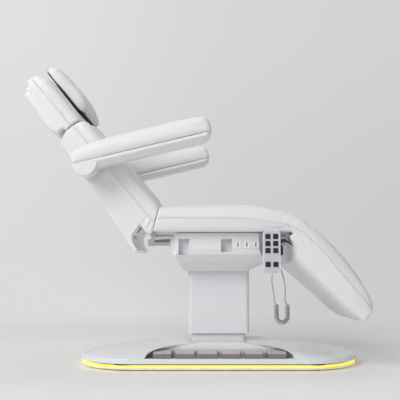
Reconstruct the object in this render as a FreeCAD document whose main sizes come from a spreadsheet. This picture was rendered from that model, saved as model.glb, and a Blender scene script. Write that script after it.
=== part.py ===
# Procedure chair: lifting column, reclining back, tilting head, folding arms, legrest and corded handset.
# Millimetres. +Z is up, +X points from the seat to the legrest, -Y is the side with the handset and pedals.
# The origin is on the floor below the centre of the column. Every joint is at rest as photographed.
import math
import os
import re

import FreeCAD
import Part
import Sketcher

V = FreeCAD.Vector
DIMS = {
    # base
    "base_length": (1150, "length of the base over the rim"),
    "base_width": (470, "width of the base over the rim"),
    "foot_height": (14, "height of a foot below the base plate"),
    "foot_end": (195, "foot centre to the end of the base"),
    "foot_inset": (47, "foot centre to the long side of the base"),
    "foot_radius": (18, "radius of a foot pad"),
    "plate_thickness": (8, "thickness of the base plate"),
    "plate_inset": (18, "edge of the plate inside the rim"),
    "shadow_gap": (6, "gap between plate and rim"),
    "strip_height": (16, "height of the light strip round the plate"),
    "rim_height": (20, "upright height of the rim"),
    "dome_rise": (56, "rise of the cover above the rim"),
    "cover_wall": (4, "wall of the cover"),
    "recess_length": (590, "length of the pedal recess"),
    "recess_depth": (95, "depth of the pedal recess"),
    "recess_sink": (3.5, "floor of the pedal recess below the top of the rim"),
    # pedals
    "recess_end": (34, "end of the recess to the side of the nearest pedal"),
    "pedal_depth": (70, "depth of a pedal"),
    "pedal_gap": (18, "gap between pedals"),
    "pedal_clear": (10, "back of the recess to the back of a pedal"),
    "pedal_front": (17, "height of a pedal at the front"),
    "pedal_back": (25.5, "height of a pedal at the back"),
    "pedal_travel": (3.5, "travel of a pedal"),
    # column
    "mast_length": (220, "mast outside, along the base"),
    "mast_width": (186, "mast outside, across the base"),
    "mast_wall": (6, "wall of the mast"),
    "shroud_length": (250, "shroud outside, along the base"),
    "shroud_width": (216, "shroud outside, across the base"),
    "shroud_wall": (4, "wall of the shroud"),
    "shroud_bottom": (134, "lower edge of the shroud above the floor"),
    "corner_radius": (17, "upright corners of the shroud"),
    # seat
    "rail_bottom": (517, "underside of the seat rails above the floor"),
    "rail_height": (24, "height of the seat rails"),
    "rail_width": (24, "width of a seat rail"),
    "rail_offset": (192, "inner face of a rail from the middle"),
    "back_hinge_reach": (262, "back hinge from the middle"),
    "leg_hinge_reach": (272, "legrest hinge from the middle"),
    "pin_radius": (6, "radius of the hinge pins"),
    "lever_radius": (29, "hinge to rod pin of both drives"),
    "rod_offset": (140, "drive rods from the middle"),
    "seat_thickness": (107, "thickness of the seat cushion"),
    "cushion_width": (570, "width of seat, back and leg cushions"),
    "seat_corner": (233, "front of the fold between seat and back"),
    # housing
    "housing_back": (195, "back end of the housing from the middle"),
    "housing_front": (186, "front end of the housing from the middle"),
    "housing_width": (470, "width of the housing"),
    "housing_drop": (151, "height of the housing"),
    "housing_wall": (3, "wall of the housing"),
    "rocker_width": (26, "width of a rocker switch"),
    "rocker_height": (28, "height of a rocker switch"),
    "rocker_pitch": (35.5, "distance between rocker switches"),
    # back
    "back_angle": (50, "incline of the back at rest, from level"),
    "back_front": (100, "front of the back cushion ahead of the hinge"),
    "back_length": (536, "hinge to the crest of the back"),
    "back_depth_low": (96, "shell behind the hinge at the bottom"),
    "back_depth_high": (44, "shell behind the hinge at the top"),
    "bar_size": (20, "height of the bars in back and leg frames"),
    "head_length": (262, "length of the headrest"),
    "head_front": (86, "front of the head cushion ahead of the hinge line"),
    "head_hinge_depth": (28, "head hinge behind the back hinge line"),
    "pillow_length": (245, "length of the head pillow"),
    "pillow_width": (380, "width of the head pillow"),
    "pillow_thickness": (59, "thickness of the head pillow"),
    # arms
    "arm_angle": (13.5, "rise of the arms at rest"),
    "arm_pivot_depth": (23.4, "arm pivot behind the back hinge line"),
    "arm_pivot_up": (353.3, "arm pivot along the back"),
    "arm_lip": (16, "lip of the arm tray above the pivot"),
    "arm_length": (494, "arm pivot to the front of the arm"),
    "arm_width": (110, "width of an arm"),
    "arm_inside": (300, "inner face of an arm from the middle"),
    "arm_pad_height": (73, "thickness of an arm pad"),
    "arm_shaft_radius": (9, "radius of the arm shafts"),
    # legrest
    "leg_angle": (49, "drop of the legrest at rest, from level"),
    "leg_length": (444, "legrest hinge to its end"),
    "leg_front": (107, "front of the leg cushion above the hinge line"),
    "leg_depth": (82, "legrest shell below the hinge line"),
    # handset and cord
    "handset_width": (66, "width of the handset"),
    "handset_height": (171, "height of the handset"),
    "handset_depth": (25, "depth of the handset"),
    "handset_x": (199, "middle of the handset from the column"),
    "handset_tuck": (5, "back of the handset inside the side of the cushion"),
    "handset_low": (377, "lower end of the handset above the floor"),
    "key_size": (19, "side of a key"),
    "key_pitch_across": (30, "distance between key columns"),
    "key_pitch_down": (27, "distance between key rows"),
    "cord_radius": (2, "radius of the cord"),
    "curl_radius": (8, "middle of the cord from the middle of a curl"),
    "curl_pitch": (7.2, "distance between curls"),
}

doc = FreeCAD.newDocument("procedure_chair")
sheet = doc.addObject("Spreadsheet::Sheet", "Dims")
for row, (alias, (size, note)) in enumerate(DIMS.items(), 1):
    sheet.set(f"A{row}", note)
    sheet.set(f"B{row}", str(size))
    sheet.setAlias(f"B{row}", alias)
doc.recompute()
D = {alias: float(sheet.get(alias)) for alias in DIMS}
NODES = {}


# Helpers

def expression(text):
    """The text with each sheet alias written as a reference to its cell."""
    def cell(match):
        return f"Dims.{match.group()}" if match.group() in DIMS else match.group()
    return re.sub(r"[a-z][a-z_]*", cell, str(text))


def bind(obj, sizes):
    """Ties properties of an object to expressions in the sheet's aliases."""
    for prop, text in sizes.items():
        obj.setExpression(prop, expression(text))
    return obj


def move(obj, at):
    """Ties the three base coordinates of an object's placement to the sheet."""
    return bind(obj, {f"Placement.Base.{axis}": text for axis, text in zip("xyz", at)})


def box(name, size, at):
    """A block whose lowest corner is at the given point."""
    obj = doc.addObject("Part::Box", name)
    bind(obj, dict(zip(("Length", "Width", "Height"), size)))
    return move(obj, at)


TURN = {"X": (V(0, 1, 0), 90), "Y": (V(1, 0, 0), -90), "Z": (V(0, 0, 1), 0)}


def rod(name, radius, length, at, axis="Z"):
    """A cylinder that starts at the given point and runs along +X, +Y or +Z."""
    obj = doc.addObject("Part::Cylinder", name)
    obj.Placement = FreeCAD.Placement(V(), FreeCAD.Rotation(*TURN[axis]))
    bind(obj, {"Radius": radius, "Height": length})
    return move(obj, at)


def fuse(name, *shapes):
    obj = doc.addObject("Part::MultiFuse", name)
    obj.Shapes = list(shapes)
    return obj


def group(name, *shapes):
    """Loose pieces of one kind, kept as separate solids under one name."""
    obj = doc.addObject("Part::Compound", name)
    obj.Links = list(shapes)
    return obj


def cut(name, base, *tools):
    obj = doc.addObject("Part::Cut", name)
    obj.Base = base
    obj.Tool = tools[0] if len(tools) == 1 else group(name + "_tools", *tools)
    return obj


def formed(name, shape):
    """A shape made here from lofts, arcs or sweeps."""
    obj = doc.addObject("Part::Feature", name)
    obj.Shape = shape
    return obj


def node(name, obj):
    obj.Label = name
    NODES[name] = obj
    return obj


FRAMES = {
    "back": ("-back_hinge_reach", "0", "rail_bottom + rail_height / 2", "back_angle - 90"),
    "leg": ("leg_hinge_reach", "0", "rail_bottom + rail_height / 2", "leg_angle"),
    "arm": (
        "-back_hinge_reach - arm_pivot_depth * sin(back_angle) - arm_pivot_up * cos(back_angle)", "0",
        "rail_bottom + rail_height / 2 - arm_pivot_depth * cos(back_angle) + arm_pivot_up * sin(back_angle)",
        "-arm_angle"),
}


def tilt(frame, obj):
    """Moves an object from a tilted frame's own axes to where that frame stands."""
    *at, angle = FRAMES[frame]
    obj.Placement = FreeCAD.Placement(V(), FreeCAD.Rotation(V(0, 1, 0), 1))
    move(obj, at)
    return bind(obj, {"Placement.Rotation.Angle": angle})


def plane(body, role):
    return next(f for f in body.Origin.OriginFeatures if f.Role == role + "_Plane")


def sketch_on(body, role, name):
    sketch = body.newObject("Sketcher::SketchObject", name)
    sketch.AttachmentSupport = [(plane(body, role), "")]
    sketch.MapMode = "FlatFace"
    return sketch


def hold(sketch, kind, first, second, text, name, start=1.0):
    """A distance from one point of a sketch to another, tied to the sheet; start is its value before that."""
    sketch.addConstraint(Sketcher.Constraint(kind, *first, *second, start))
    sketch.renameConstraint(sketch.ConstraintCount - 1, name)
    sketch.setExpression(f"Constraints.{name}", expression(text))


def hold_radius(sketch, edge, text, name, start=1.0):
    sketch.addConstraint(Sketcher.Constraint("Radius", edge, start))
    sketch.renameConstraint(sketch.ConstraintCount - 1, name)
    sketch.setExpression(f"Constraints.{name}", expression(text))


ORIGIN = (-1, 1)


def rounded_rectangle(sketch, tag, length, width, radius, guess):
    """A rectangle about the sketch's origin with four equal corner arcs, drawn at a guessed size first."""
    k = sketch.GeometryCount
    r = 10.0
    a, b = guess
    for sx, sy, turn in ((1, 1, 0), (-1, 1, 1), (-1, -1, 2), (1, -1, 3)):
        circle = Part.Circle(V(sx * (a - r), sy * (b - r), 0), V(0, 0, 1), r)
        sketch.addGeometry(Part.ArcOfCircle(circle, turn * math.pi / 2, (turn + 1) * math.pi / 2))
    lines = [((a - r, b), (r - a, b)), ((-a, b - r), (-a, r - b)),
             ((r - a, -b), (a - r, -b)), ((a, r - b), (a, b - r))]
    for start, end in lines:
        sketch.addGeometry(Part.LineSegment(V(*start, 0), V(*end, 0)))
    for i in range(4):
        sketch.addConstraint(Sketcher.Constraint("Tangent", k + i, 2, k + 4 + i, 1))
        sketch.addConstraint(Sketcher.Constraint("Tangent", k + 4 + i, 2, k + (i + 1) % 4, 1))
    for i in range(1, 4):
        sketch.addConstraint(Sketcher.Constraint("Equal", k, k + i))
    for i in (4, 6):
        sketch.addConstraint(Sketcher.Constraint("Horizontal", k + i))
        sketch.addConstraint(Sketcher.Constraint("Vertical", k + i + 1))
    hold(sketch, "DistanceX", ORIGIN, (k + 7, 1), f"({length}) / 2", tag + "_right", a)
    hold(sketch, "DistanceX", (k + 5, 1), ORIGIN, f"({length}) / 2", tag + "_left", a)
    hold(sketch, "DistanceY", ORIGIN, (k + 4, 1), f"({width}) / 2", tag + "_top", b)
    hold(sketch, "DistanceY", (k + 6, 1), ORIGIN, f"({width}) / 2", tag + "_bottom", b)
    hold_radius(sketch, k, radius, tag + "_corner", r)


def stadium(sketch, tag, length, width):
    """Two straight sides and two half circles about the sketch's origin."""
    k = sketch.GeometryCount
    a, r = (D["base_length"] - D["base_width"]) / 2, D["base_width"] / 2 - 12
    for sx, turn in ((1, -0.5), (-1, 0.5)):
        circle = Part.Circle(V(sx * a, 0, 0), V(0, 0, 1), r)
        sketch.addGeometry(Part.ArcOfCircle(circle, turn * math.pi, (turn + 1) * math.pi))
    sketch.addGeometry(Part.LineSegment(V(a, r, 0), V(-a, r, 0)))
    sketch.addGeometry(Part.LineSegment(V(-a, -r, 0), V(a, -r, 0)))
    for first, second in (((k, 2), (k + 2, 1)), ((k + 2, 2), (k + 1, 1)),
                          ((k + 1, 2), (k + 3, 1)), ((k + 3, 2), (k, 1))):
        sketch.addConstraint(Sketcher.Constraint("Tangent", *first, *second))
    sketch.addConstraint(Sketcher.Constraint("Equal", k, k + 1))
    sketch.addConstraint(Sketcher.Constraint("PointOnObject", k, 3, -1))
    sketch.addConstraint(Sketcher.Constraint("PointOnObject", k + 1, 3, -1))
    hold(sketch, "DistanceX", ORIGIN, (k, 3), f"({length} - ({width})) / 2", tag + "_right", a)
    hold(sketch, "DistanceX", (k + 1, 3), ORIGIN, f"({length} - ({width})) / 2", tag + "_left", a)
    hold_radius(sketch, k, f"({width}) / 2", tag + "_end", r)


def pad(body, sketch, name, length, reverse=False):
    feature = body.newObject("PartDesign::Pad", name)
    feature.Profile = sketch
    feature.Reversed = reverse
    bind(feature, {"Length": length})
    sketch.Visibility = False
    return feature


def prism(points, axis, low, high):
    """A solid from a closed outline of (a, b) points run along one axis: a, b are XZ, YZ or XY."""
    to_3d = {
        "X": lambda a, b: V(low, a, b),
        "Y": lambda a, b: V(a, low, b),
        "Z": lambda a, b: V(a, b, low),
    }[axis]
    wire = Part.makePolygon([to_3d(*p) for p in list(points) + [points[0]]])
    run = {"X": V(1, 0, 0), "Y": V(0, 1, 0), "Z": V(0, 0, 1)}[axis]
    return Part.Face(wire).extrude(run * (high - low))


def block(low, high):
    """A block between two opposite corners."""
    return Part.makeBox(*[b - a for a, b in zip(low, high)], V(*low))


def barrel(radius, a, b, low, high):
    """A cylinder across the chair, about the point (a, b) of its side view."""
    return Part.makeCylinder(radius, high - low, V(a, low, b), V(0, 1, 0))


def inset(points, distance):
    """The outline of (a, b) points moved in by a distance all round, corner for corner."""
    turns = zip(points, points[1:] + points[:1])
    area = sum(p[0] * q[1] - q[0] * p[1] for p, q in turns)
    moved = []
    for i, (a, b) in enumerate(points):
        normals = []
        for start, end in ((points[i - 1], points[i]), (points[i], points[(i + 1) % len(points)])):
            da, db = end[0] - start[0], end[1] - start[1]
            run = math.copysign(math.hypot(da, db), area)
            normals.append((-db / run, da / run))
        (a1, b1), (a2, b2) = normals
        share = distance / (1 + a1 * a2 + b1 * b2)
        moved.append((a + share * (a1 + a2), b + share * (b1 + b2)))
    return moved


def soft_prism(points, low, high, radius):
    """An outline run across the chair with its two outlines rounded off."""
    steps = [math.radians(t) for t in (0, 22, 45, 68, 90)]
    first = [(low + radius * (1 - math.cos(t)), radius * (1 - math.sin(t))) for t in steps]
    last = [(high + low - y, shrink) for y, shrink in reversed(first)]
    wires = []
    for y, shrink in first + last:
        loop = inset(points, shrink)
        wires.append(Part.makePolygon([V(a, y, b) for a, b in loop + loop[:1]]))
    return Part.makeLoft(wires, True, True)


def moulded(points, half, wall, radius):
    """A hollow moulding of even wall with rounded long edges."""
    inner = soft_prism(inset(points, wall), -half + wall, half - wall, radius - wall / 2)
    return soft_prism(points, -half, half, radius).cut(inner)


SEAM_DRAW = 4
EDGE_ROUND = 22


def cushion_section(half, low, high, at, crown=8):
    """The outline of a cushion across its length: crowned top, rounded edge, sides drawn in along a seam."""
    tall = high - low
    corner = min(EDGE_ROUND, 0.38 * tall)
    top = high - min(crown, 0.1 * tall)
    seam = low + 0.48 * tall
    side = {
        "foot": (half - 0.12 * tall, low),
        "low_bulge": (half - 0.01 * tall, low + 0.22 * tall),
        "seam": (half - min(SEAM_DRAW, 0.05 * tall), seam),
        "high_bulge": (half, seam + 0.5 * (top - corner - seam)),
        "shoulder": (half - 0.02 * tall, top - corner),
        "round": (half - 0.02 * tall - 0.29 * corner, top - 0.29 * corner),
        "edge": (half - 0.02 * tall - corner, top),
    }
    right = {key: at(y, n) for key, (y, n) in side.items()}
    left = {key: at(-y, n) for key, (y, n) in side.items()}
    edges = [Part.LineSegment(left["foot"], right["foot"])]
    for start, via, end in (("foot", "low_bulge", "seam"), ("seam", "high_bulge", "shoulder"),
                            ("shoulder", "round", "edge")):
        edges.append(Part.Arc(right[start], right[via], right[end]))
    edges.append(Part.Arc(right["edge"], at(0, high), left["edge"]))
    for start, via, end in (("edge", "round", "shoulder"), ("shoulder", "high_bulge", "seam"),
                            ("seam", "low_bulge", "foot")):
        edges.append(Part.Arc(left[start], left[via], left[end]))
    return Part.Wire([edge.toShape() for edge in edges])


def cushion(stations, upright, crown=8, middle=0.0, more=()):
    """A stuffed cushion lofted through its sections, and then through any more of them.

    Each station is (place along the length, half width, low face, high face). An upright
    cushion's length runs along Z and its faces look along X, otherwise along X and Z.
    """
    wires = []
    for place, half, low, high in stations:
        def at(y, n):
            return V(n, middle + y, place) if upright else V(place, middle + y, n)
        wires.append(cushion_section(half, low, high, at, crown))
    return Part.makeLoft(wires + list(more), True, True)


# Levels and places that several pieces share
plate_bottom = D["foot_height"]
plate_top = plate_bottom + D["plate_thickness"]
rim_bottom = plate_top + D["shadow_gap"]
rim_top = rim_bottom + D["rim_height"]
dome_top = rim_top + D["dome_rise"]
rail_top = D["rail_bottom"] + D["rail_height"]
hinge_z = D["rail_bottom"] + D["rail_height"] / 2
seat_top = rail_top + D["seat_thickness"]
half_cushion = D["cushion_width"] / 2
back_x = -D["back_hinge_reach"]
leg_x = D["leg_hinge_reach"]
bar = D["bar_size"] / 2
RUN = 0.05

# Base plate, light strip and feet
body = doc.addObject("PartDesign::Body", "base_frame_body")
outline = sketch_on(body, "XY", "plate_outline")
stadium(outline, "plate", "base_length - 2 * plate_inset", "base_width - 2 * plate_inset")
for i, (sx, sy) in enumerate(((1, 1), (-1, 1), (-1, -1), (1, -1))):
    hole = outline.addGeometry(Part.Circle(V(sx * 30, sy * 5, 0), V(0, 0, 1), 1))
    side_x = ((hole, 3), ORIGIN) if sx < 0 else (ORIGIN, (hole, 3))
    side_y = ((hole, 3), ORIGIN) if sy < 0 else (ORIGIN, (hole, 3))
    hold(outline, "DistanceX", *side_x, "base_length / 2 - foot_end", f"stud_{i}_along")
    hold(outline, "DistanceY", *side_y, "base_width / 2 - foot_inset", f"stud_{i}_across")
    hold_radius(outline, hole, "5", f"stud_{i}_radius")
pad(body, outline, "plate_pad", "plate_thickness")
node("base_frame", move(body, ("0", "0", "foot_height")))

body = doc.addObject("PartDesign::Body", "light_strip_body")
outline = sketch_on(body, "XY", "strip_outline")
stadium(outline, "outer", "base_length - 8", "base_width - 8")
stadium(outline, "inner", "base_length - 2 * plate_inset", "base_width - 2 * plate_inset")
pad(body, outline, "strip_pad", "strip_height")
node("light_strip", move(body, ("0", "0", "foot_height + plate_thickness - strip_height")))

feet = []
for i, (sx, sy) in enumerate(((1, 1), (-1, 1), (-1, -1), (1, -1))):
    spot = (f"{sx} * (base_length / 2 - foot_end)", f"{sy} * (base_width / 2 - foot_inset)")
    feet.append(fuse(
        f"foot_{i}",
        rod(f"foot_{i}_pad", "foot_radius", "foot_height", (*spot, "0")),
        rod(f"foot_{i}_stud", "5", "plate_thickness", (*spot, "foot_height")),
        rod(f"foot_{i}_hub", "foot_inset - 7", "shadow_gap", (*spot, "foot_height + plate_thickness"))))
feet.append(rod("foot_middle", "2 * foot_radius", "foot_height", ("0", "0", "0")))
node("levelling_feet", group("levelling_feet_group", *feet))


# Cover with its arched recess

def ring(half_length, half_width, z):
    """A stadium outline at one height, its ends as quarter circles."""
    straight = half_length - half_width
    q = half_width * math.sqrt(0.5)
    edges = [Part.LineSegment(V(-straight, -half_width, z), V(straight, -half_width, z))]
    edges.append(Part.Arc(V(straight, -half_width, z), V(straight + q, -q, z), V(half_length, 0, z)))
    edges.append(Part.Arc(V(half_length, 0, z), V(straight + q, q, z), V(straight, half_width, z)))
    edges.append(Part.LineSegment(V(straight, half_width, z), V(-straight, half_width, z)))
    edges.append(Part.Arc(V(-straight, half_width, z), V(-straight - q, q, z), V(-half_length, 0, z)))
    edges.append(Part.Arc(V(-half_length, 0, z), V(-straight - q, -q, z), V(-straight, -half_width, z)))
    return Part.Wire([edge.toShape() for edge in edges])


DOME = ((0.0, 1.0, 1.0), (0.12, 0.95, 0.93), (0.3, 0.84, 0.8), (0.52, 0.655, 0.61), (0.72, 0.43, 0.41),
        (0.88, 0.21, 0.22), (0.97, 0.07, 0.08), (1.0, 0.0, 0.0))


def dome(wall):
    """The cover's outside, or its inside when a wall is given."""
    half_length = D["base_length"] / 2 - wall
    half_width = D["base_width"] / 2 - wall
    top_length = D["mast_length"] / 2 + 34 - wall
    top_width = D["mast_width"] / 2 + 31 - wall
    low = rim_bottom - (1 if wall else 0)
    rings = [ring(half_length, half_width, low), ring(half_length, half_width, rim_top - 6 - wall)]
    rings.append(ring(half_length - 2, half_width - 2, rim_top - 1.5 - wall))
    for rise, along, across in DOME:
        rings.append(ring(top_length + (half_length - 6 - top_length) * along,
                          top_width + (half_width - 6 - top_width) * across,
                          rim_top + 1 + (D["dome_rise"] - 1) * rise - wall))
    return Part.makeLoft(rings, True, True)


recess_back = -D["base_width"] / 2 + D["recess_depth"]
recess_floor = rim_top - D["recess_sink"]


def arch(shrink, low, front, back):
    """The recess as a tunnel with an arched roof, shrunk all round by some amount."""
    half = D["recess_length"] / 2 - shrink
    rise = D["dome_rise"] - shrink
    steps = [math.pi * i / 24 for i in range(25)]
    curve = [(half * math.cos(t), rim_top + rise * math.sin(t) ** 0.8) for t in steps]
    return prism([(half, low)] + curve + [(-half, low)], "Y", front, back)


outside = dome(0)
cover = outside.cut(dome(D["cover_wall"]))
rim_half = (D["base_length"] / 2 - 1, D["base_width"] / 2 - 1)
flange = Part.Face(ring(*rim_half, rim_bottom)).extrude(V(0, 0, 3))
flange = flange.cut(Part.Face(ring(rim_half[0] - 19, rim_half[1] - 19, rim_bottom - 1)).extrude(V(0, 0, 6)))
mast_hole = [D["mast_length"] / 2 + 0.5, D["mast_width"] / 2 + 0.5]
hole = block((-mast_hole[0], -mast_hole[1], rim_top), (mast_hole[0], mast_hole[1], dome_top + 20))
front = -D["base_width"] / 2
cover = cover.fuse(flange).cut(hole).cut(arch(0, rim_top, front - 20, recess_back)).removeSplitter()
node("base_cover", formed("base_cover_form", cover))

tray = arch(0.3, recess_floor - 4, front + D["cover_wall"] + 6.5, recess_back - 0.3)
tray = tray.cut(arch(3.3, recess_floor, front - 20, recess_back - 3.3)).common(outside)
lip_back = front + D["cover_wall"] + 10.5
half_run = D["base_length"] / 2
tray = tray.cut(block((-half_run, front, recess_floor), (half_run, lip_back, dome_top)))
pedal_y = recess_back - D["pedal_clear"] - D["pedal_depth"] / 2
pedal_wide = "(recess_length - 2 * recess_end - 5 * pedal_gap) / 6"
pedal_step = (D["recess_length"] - 2 * D["recess_end"] - 5 * D["pedal_gap"]) / 6 + D["pedal_gap"]
pedal_places = [pedal_step * (i - 2.5) for i in range(6)]
for place in pedal_places:
    tray = tray.cut(Part.makeCylinder(7 + RUN, 10, V(place, pedal_y, recess_floor - 6)))
node("pedal_tray", formed("pedal_tray_form", tray))

for i in range(6):
    body = doc.addObject("PartDesign::Body", f"pedal_{i + 1}_body")
    side = sketch_on(body, "YZ", f"pedal_{i + 1}_side")
    corners = (("-pedal_depth / 2", "0"), ("pedal_depth / 2", "0"),
               ("pedal_depth / 2", "pedal_back"), ("-pedal_depth / 2", "pedal_front"))
    starts = [V(-20, 0, 0), V(20, 0, 0), V(20, 9, 0), V(-20, 6, 0)]
    for k in range(4):
        side.addGeometry(Part.LineSegment(starts[k], starts[(k + 1) % 4]))
    for k in range(4):
        side.addConstraint(Sketcher.Constraint("Coincident", k, 2, (k + 1) % 4, 1))
        hold(side, "DistanceX", ORIGIN, (k, 1), corners[k][0], f"corner_{k}_across")
        hold(side, "DistanceY", ORIGIN, (k, 1), corners[k][1], f"corner_{k}_up")
    pad(body, side, f"pedal_{i + 1}_top", f"{pedal_wide} / 2")
    pad(body, side, f"pedal_{i + 1}_rest", f"{pedal_wide} / 2", True)
    stem = sketch_on(body, "XY", f"pedal_{i + 1}_stem_circle")
    circle = stem.addGeometry(Part.Circle(V(), V(0, 0, 1), 3))
    stem.addConstraint(Sketcher.Constraint("Coincident", circle, 3, -1, 1))
    hold_radius(stem, circle, "7", "stem")
    pad(body, stem, f"pedal_{i + 1}_stem", "pedal_travel + 12", True)
    floor = "foot_height + plate_thickness + shadow_gap + rim_height - recess_sink"
    node(f"pedal_{i + 1}", move(body, (
        f"({pedal_wide} + pedal_gap) * ({i} - 2.5)",
        "-base_width / 2 + recess_depth - pedal_clear - pedal_depth / 2",
        f"{floor} + pedal_travel + 0.5")))

# Column: mast, drive, shroud and glides
body = doc.addObject("PartDesign::Body", "column_mast_body")
outline = sketch_on(body, "XY", "mast_outline")
mast_guess = (D["mast_length"] / 2, D["mast_width"] / 2)
rounded_rectangle(outline, "outer", "mast_length", "mast_width", "corner_radius - 3", mast_guess)
rounded_rectangle(outline, "inner", "mast_length - 2 * mast_wall", "mast_width - 2 * mast_wall",
                  "corner_radius - 3 - mast_wall", mast_guess)
pad(body, outline, "mast_pad", "rail_bottom - 17 - foot_height - plate_thickness")
node("column_mast", move(body, ("0", "0", "foot_height + plate_thickness")))

floor = "foot_height + plate_thickness"
node("lift_actuator", cut(
    "lift_actuator_cut",
    fuse("lift_actuator_whole",
         box("lift_motor", ("110", "90", "110"), ("-55", "-45", floor)),
         rod("lift_tube", "30", "rail_bottom - 187", ("0", "0", f"{floor} + 90"))),
    rod("lift_bore", "18.4", "rail_bottom", ("0", "0", f"{floor} + 118"))))
node("lift_rod", rod("lift_rod_form", "18", f"rail_bottom - 10 - ({floor} + 128)",
                     ("0", "0", f"{floor} + 128")))

body = doc.addObject("PartDesign::Body", "column_shroud_body")
outline = sketch_on(body, "XY", "shroud_outline")
shroud_guess = (D["shroud_length"] / 2, D["shroud_width"] / 2)
rounded_rectangle(outline, "outer", "shroud_length", "shroud_width", "corner_radius", shroud_guess)
rounded_rectangle(outline, "inner", "shroud_length - 2 * shroud_wall", "shroud_width - 2 * shroud_wall",
                  "corner_radius - shroud_wall", shroud_guess)
pad(body, outline, "shroud_pad", "rail_bottom - shroud_bottom", True)
lid = sketch_on(body, "XY", "lid_outline")
rounded_rectangle(lid, "lid", "shroud_length - shroud_wall", "shroud_width - shroud_wall",
                  "corner_radius - 2", shroud_guess)
pad(body, lid, "lid_pad", "10", True)
node("column_shroud", move(body, ("0", "0", "rail_bottom")))

pads = []
for s in (1, -1):
    gap = "(shroud_length / 2 - shroud_wall - mast_length / 2 - 0.3)"
    start = "mast_length / 2 + 0.3" if s > 0 else f"-mast_length / 2 - 0.3 - {gap}"
    pads.append(box(f"glide_end_{'pn'[s < 0]}", (gap, "110", "40"), (start, "-55", "shroud_bottom + 6")))
    gap = "(shroud_width / 2 - shroud_wall - mast_width / 2 - 0.3)"
    start = "mast_width / 2 + 0.3" if s > 0 else f"-mast_width / 2 - 0.3 - {gap}"
    pads.append(box(f"glide_side_{'pn'[s < 0]}", ("140", gap, "40"), ("-70", start, "shroud_bottom + 6")))
node("shroud_glides", group("shroud_glides_group", *pads))

# Seat frame and hinge pins
rail_z = "rail_bottom + rail_height / 2"
pieces, pins, holes = [], [], []
for s in (1, -1):
    side = "pn"[s < 0]
    inner = "rail_offset" if s > 0 else "-rail_offset - rail_width"
    pieces.append(box(f"rail_{side}", ("back_hinge_reach + leg_hinge_reach", "rail_width", "rail_height"),
                      ("-back_hinge_reach", inner, "rail_bottom")))
    for end, x in (("back", "-back_hinge_reach"), ("leg", "leg_hinge_reach")):
        pieces.append(rod(f"rail_{end}_{side}", "rail_height / 2", "rail_width", (x, inner, rail_z), "Y"))
        reach = "rail_offset - rail_width - 0.5"
        start = reach if s > 0 else "-rail_offset - rail_width - 4"
        head = "rail_offset + rail_width" if s > 0 else "-rail_offset - rail_width - 4"
        pins.append(fuse(
            f"pin_{end}_{side}",
            rod(f"pin_{end}_{side}_shank", "pin_radius", "2 * rail_width + 4.5", (x, start, rail_z), "Y"),
            rod(f"pin_{end}_{side}_head", "pin_radius + 3", "4", (x, head, rail_z), "Y")))
for end, x in (("back", "-back_hinge_reach"), ("leg", "leg_hinge_reach")):
    holes.append(rod(f"rail_hole_{end}", "pin_radius", "2 * rail_offset + 2 * rail_width + 20",
                     (x, "-rail_offset - rail_width - 10", rail_z), "Y"))
for i, s in enumerate((-1, 1)):
    pieces.append(box(f"cross_{i}", ("30", "2 * rail_offset + 2", "rail_height / 2"),
                      (f"{s} * 110 - 15", "-rail_offset - 1", "rail_bottom")))
pieces.append(box("top_plate", ("shroud_length + 20", "shroud_width + 40", "rail_height / 2"),
                  ("-shroud_length / 2 - 10", "-shroud_width / 2 - 20", "rail_bottom")))
node("seat_frame", cut("seat_frame_cut", fuse("seat_frame_whole", *pieces), *holes))
node("hinge_pins", group("hinge_pins_group", *pins))

# Seat cushion, with a round nose about the legrest hinge and a sloped end at the back
nose = 0.87 * D["seat_thickness"]
nose_drop = seat_top - hinge_z - nose
reach = leg_x + D["seat_corner"]
SEAT_FALL = ((0.0, 0.0), (0.474, 0.0), (0.622, 0.035), (0.738, 0.115), (0.815, 0.235), (0.931, 0.585))
NOSE_TURN = ((0, 1.016), (8, 0.985), (15, 0.965), (30, 0.95), (45, 0.98), (60, 1.03), (72, 1.035),
             (80, 1.035))
stations = [(back_x - 10, half_cushion, rail_top, seat_top)]
for along, fall in SEAT_FALL:
    stations.append((-D["seat_corner"] + reach * along, half_cushion, rail_top, seat_top - nose_drop * fall))
turned = []
for degrees, share in NOSE_TURN:
    turn = math.radians(degrees)

    def about_hinge(y, n):
        return V(leg_x + n * math.sin(turn), y, hinge_z + n * math.cos(turn))
    low = (rail_top - hinge_z) / math.cos(turn)
    turned.append(cushion_section(half_cushion, low, nose * share, about_hinge))
seat = cushion(stations, False, more=turned)
fold_top = (-D["seat_corner"], seat_top + 2)
fold_low = (back_x + 2, rail_top + 7)
fold_end = (back_x + 8, rail_top - 1)


def behind_fold(gap):
    """What lies behind the fold between seat and back, in side view."""
    slope = (fold_top[0] - fold_low[0]) / (fold_top[1] - fold_low[1])
    high = (fold_top[0] + slope * 900 - gap, fold_top[1] + 900)
    low = (fold_low[0] - gap, fold_low[1])
    return prism([high, low, (fold_end[0] - gap, fold_end[1]), (fold_end[0] - gap, fold_end[1] - 200),
                  (back_x - 900, fold_end[1] - 200), (back_x - 900, high[1])], "Y", -600, 600)


node("seat_cushion", formed("seat_cushion_form", seat.cut(behind_fold(0)).removeSplitter()))


# Housing below the seat, open at the top, with two pockets and three switch windows

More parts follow.
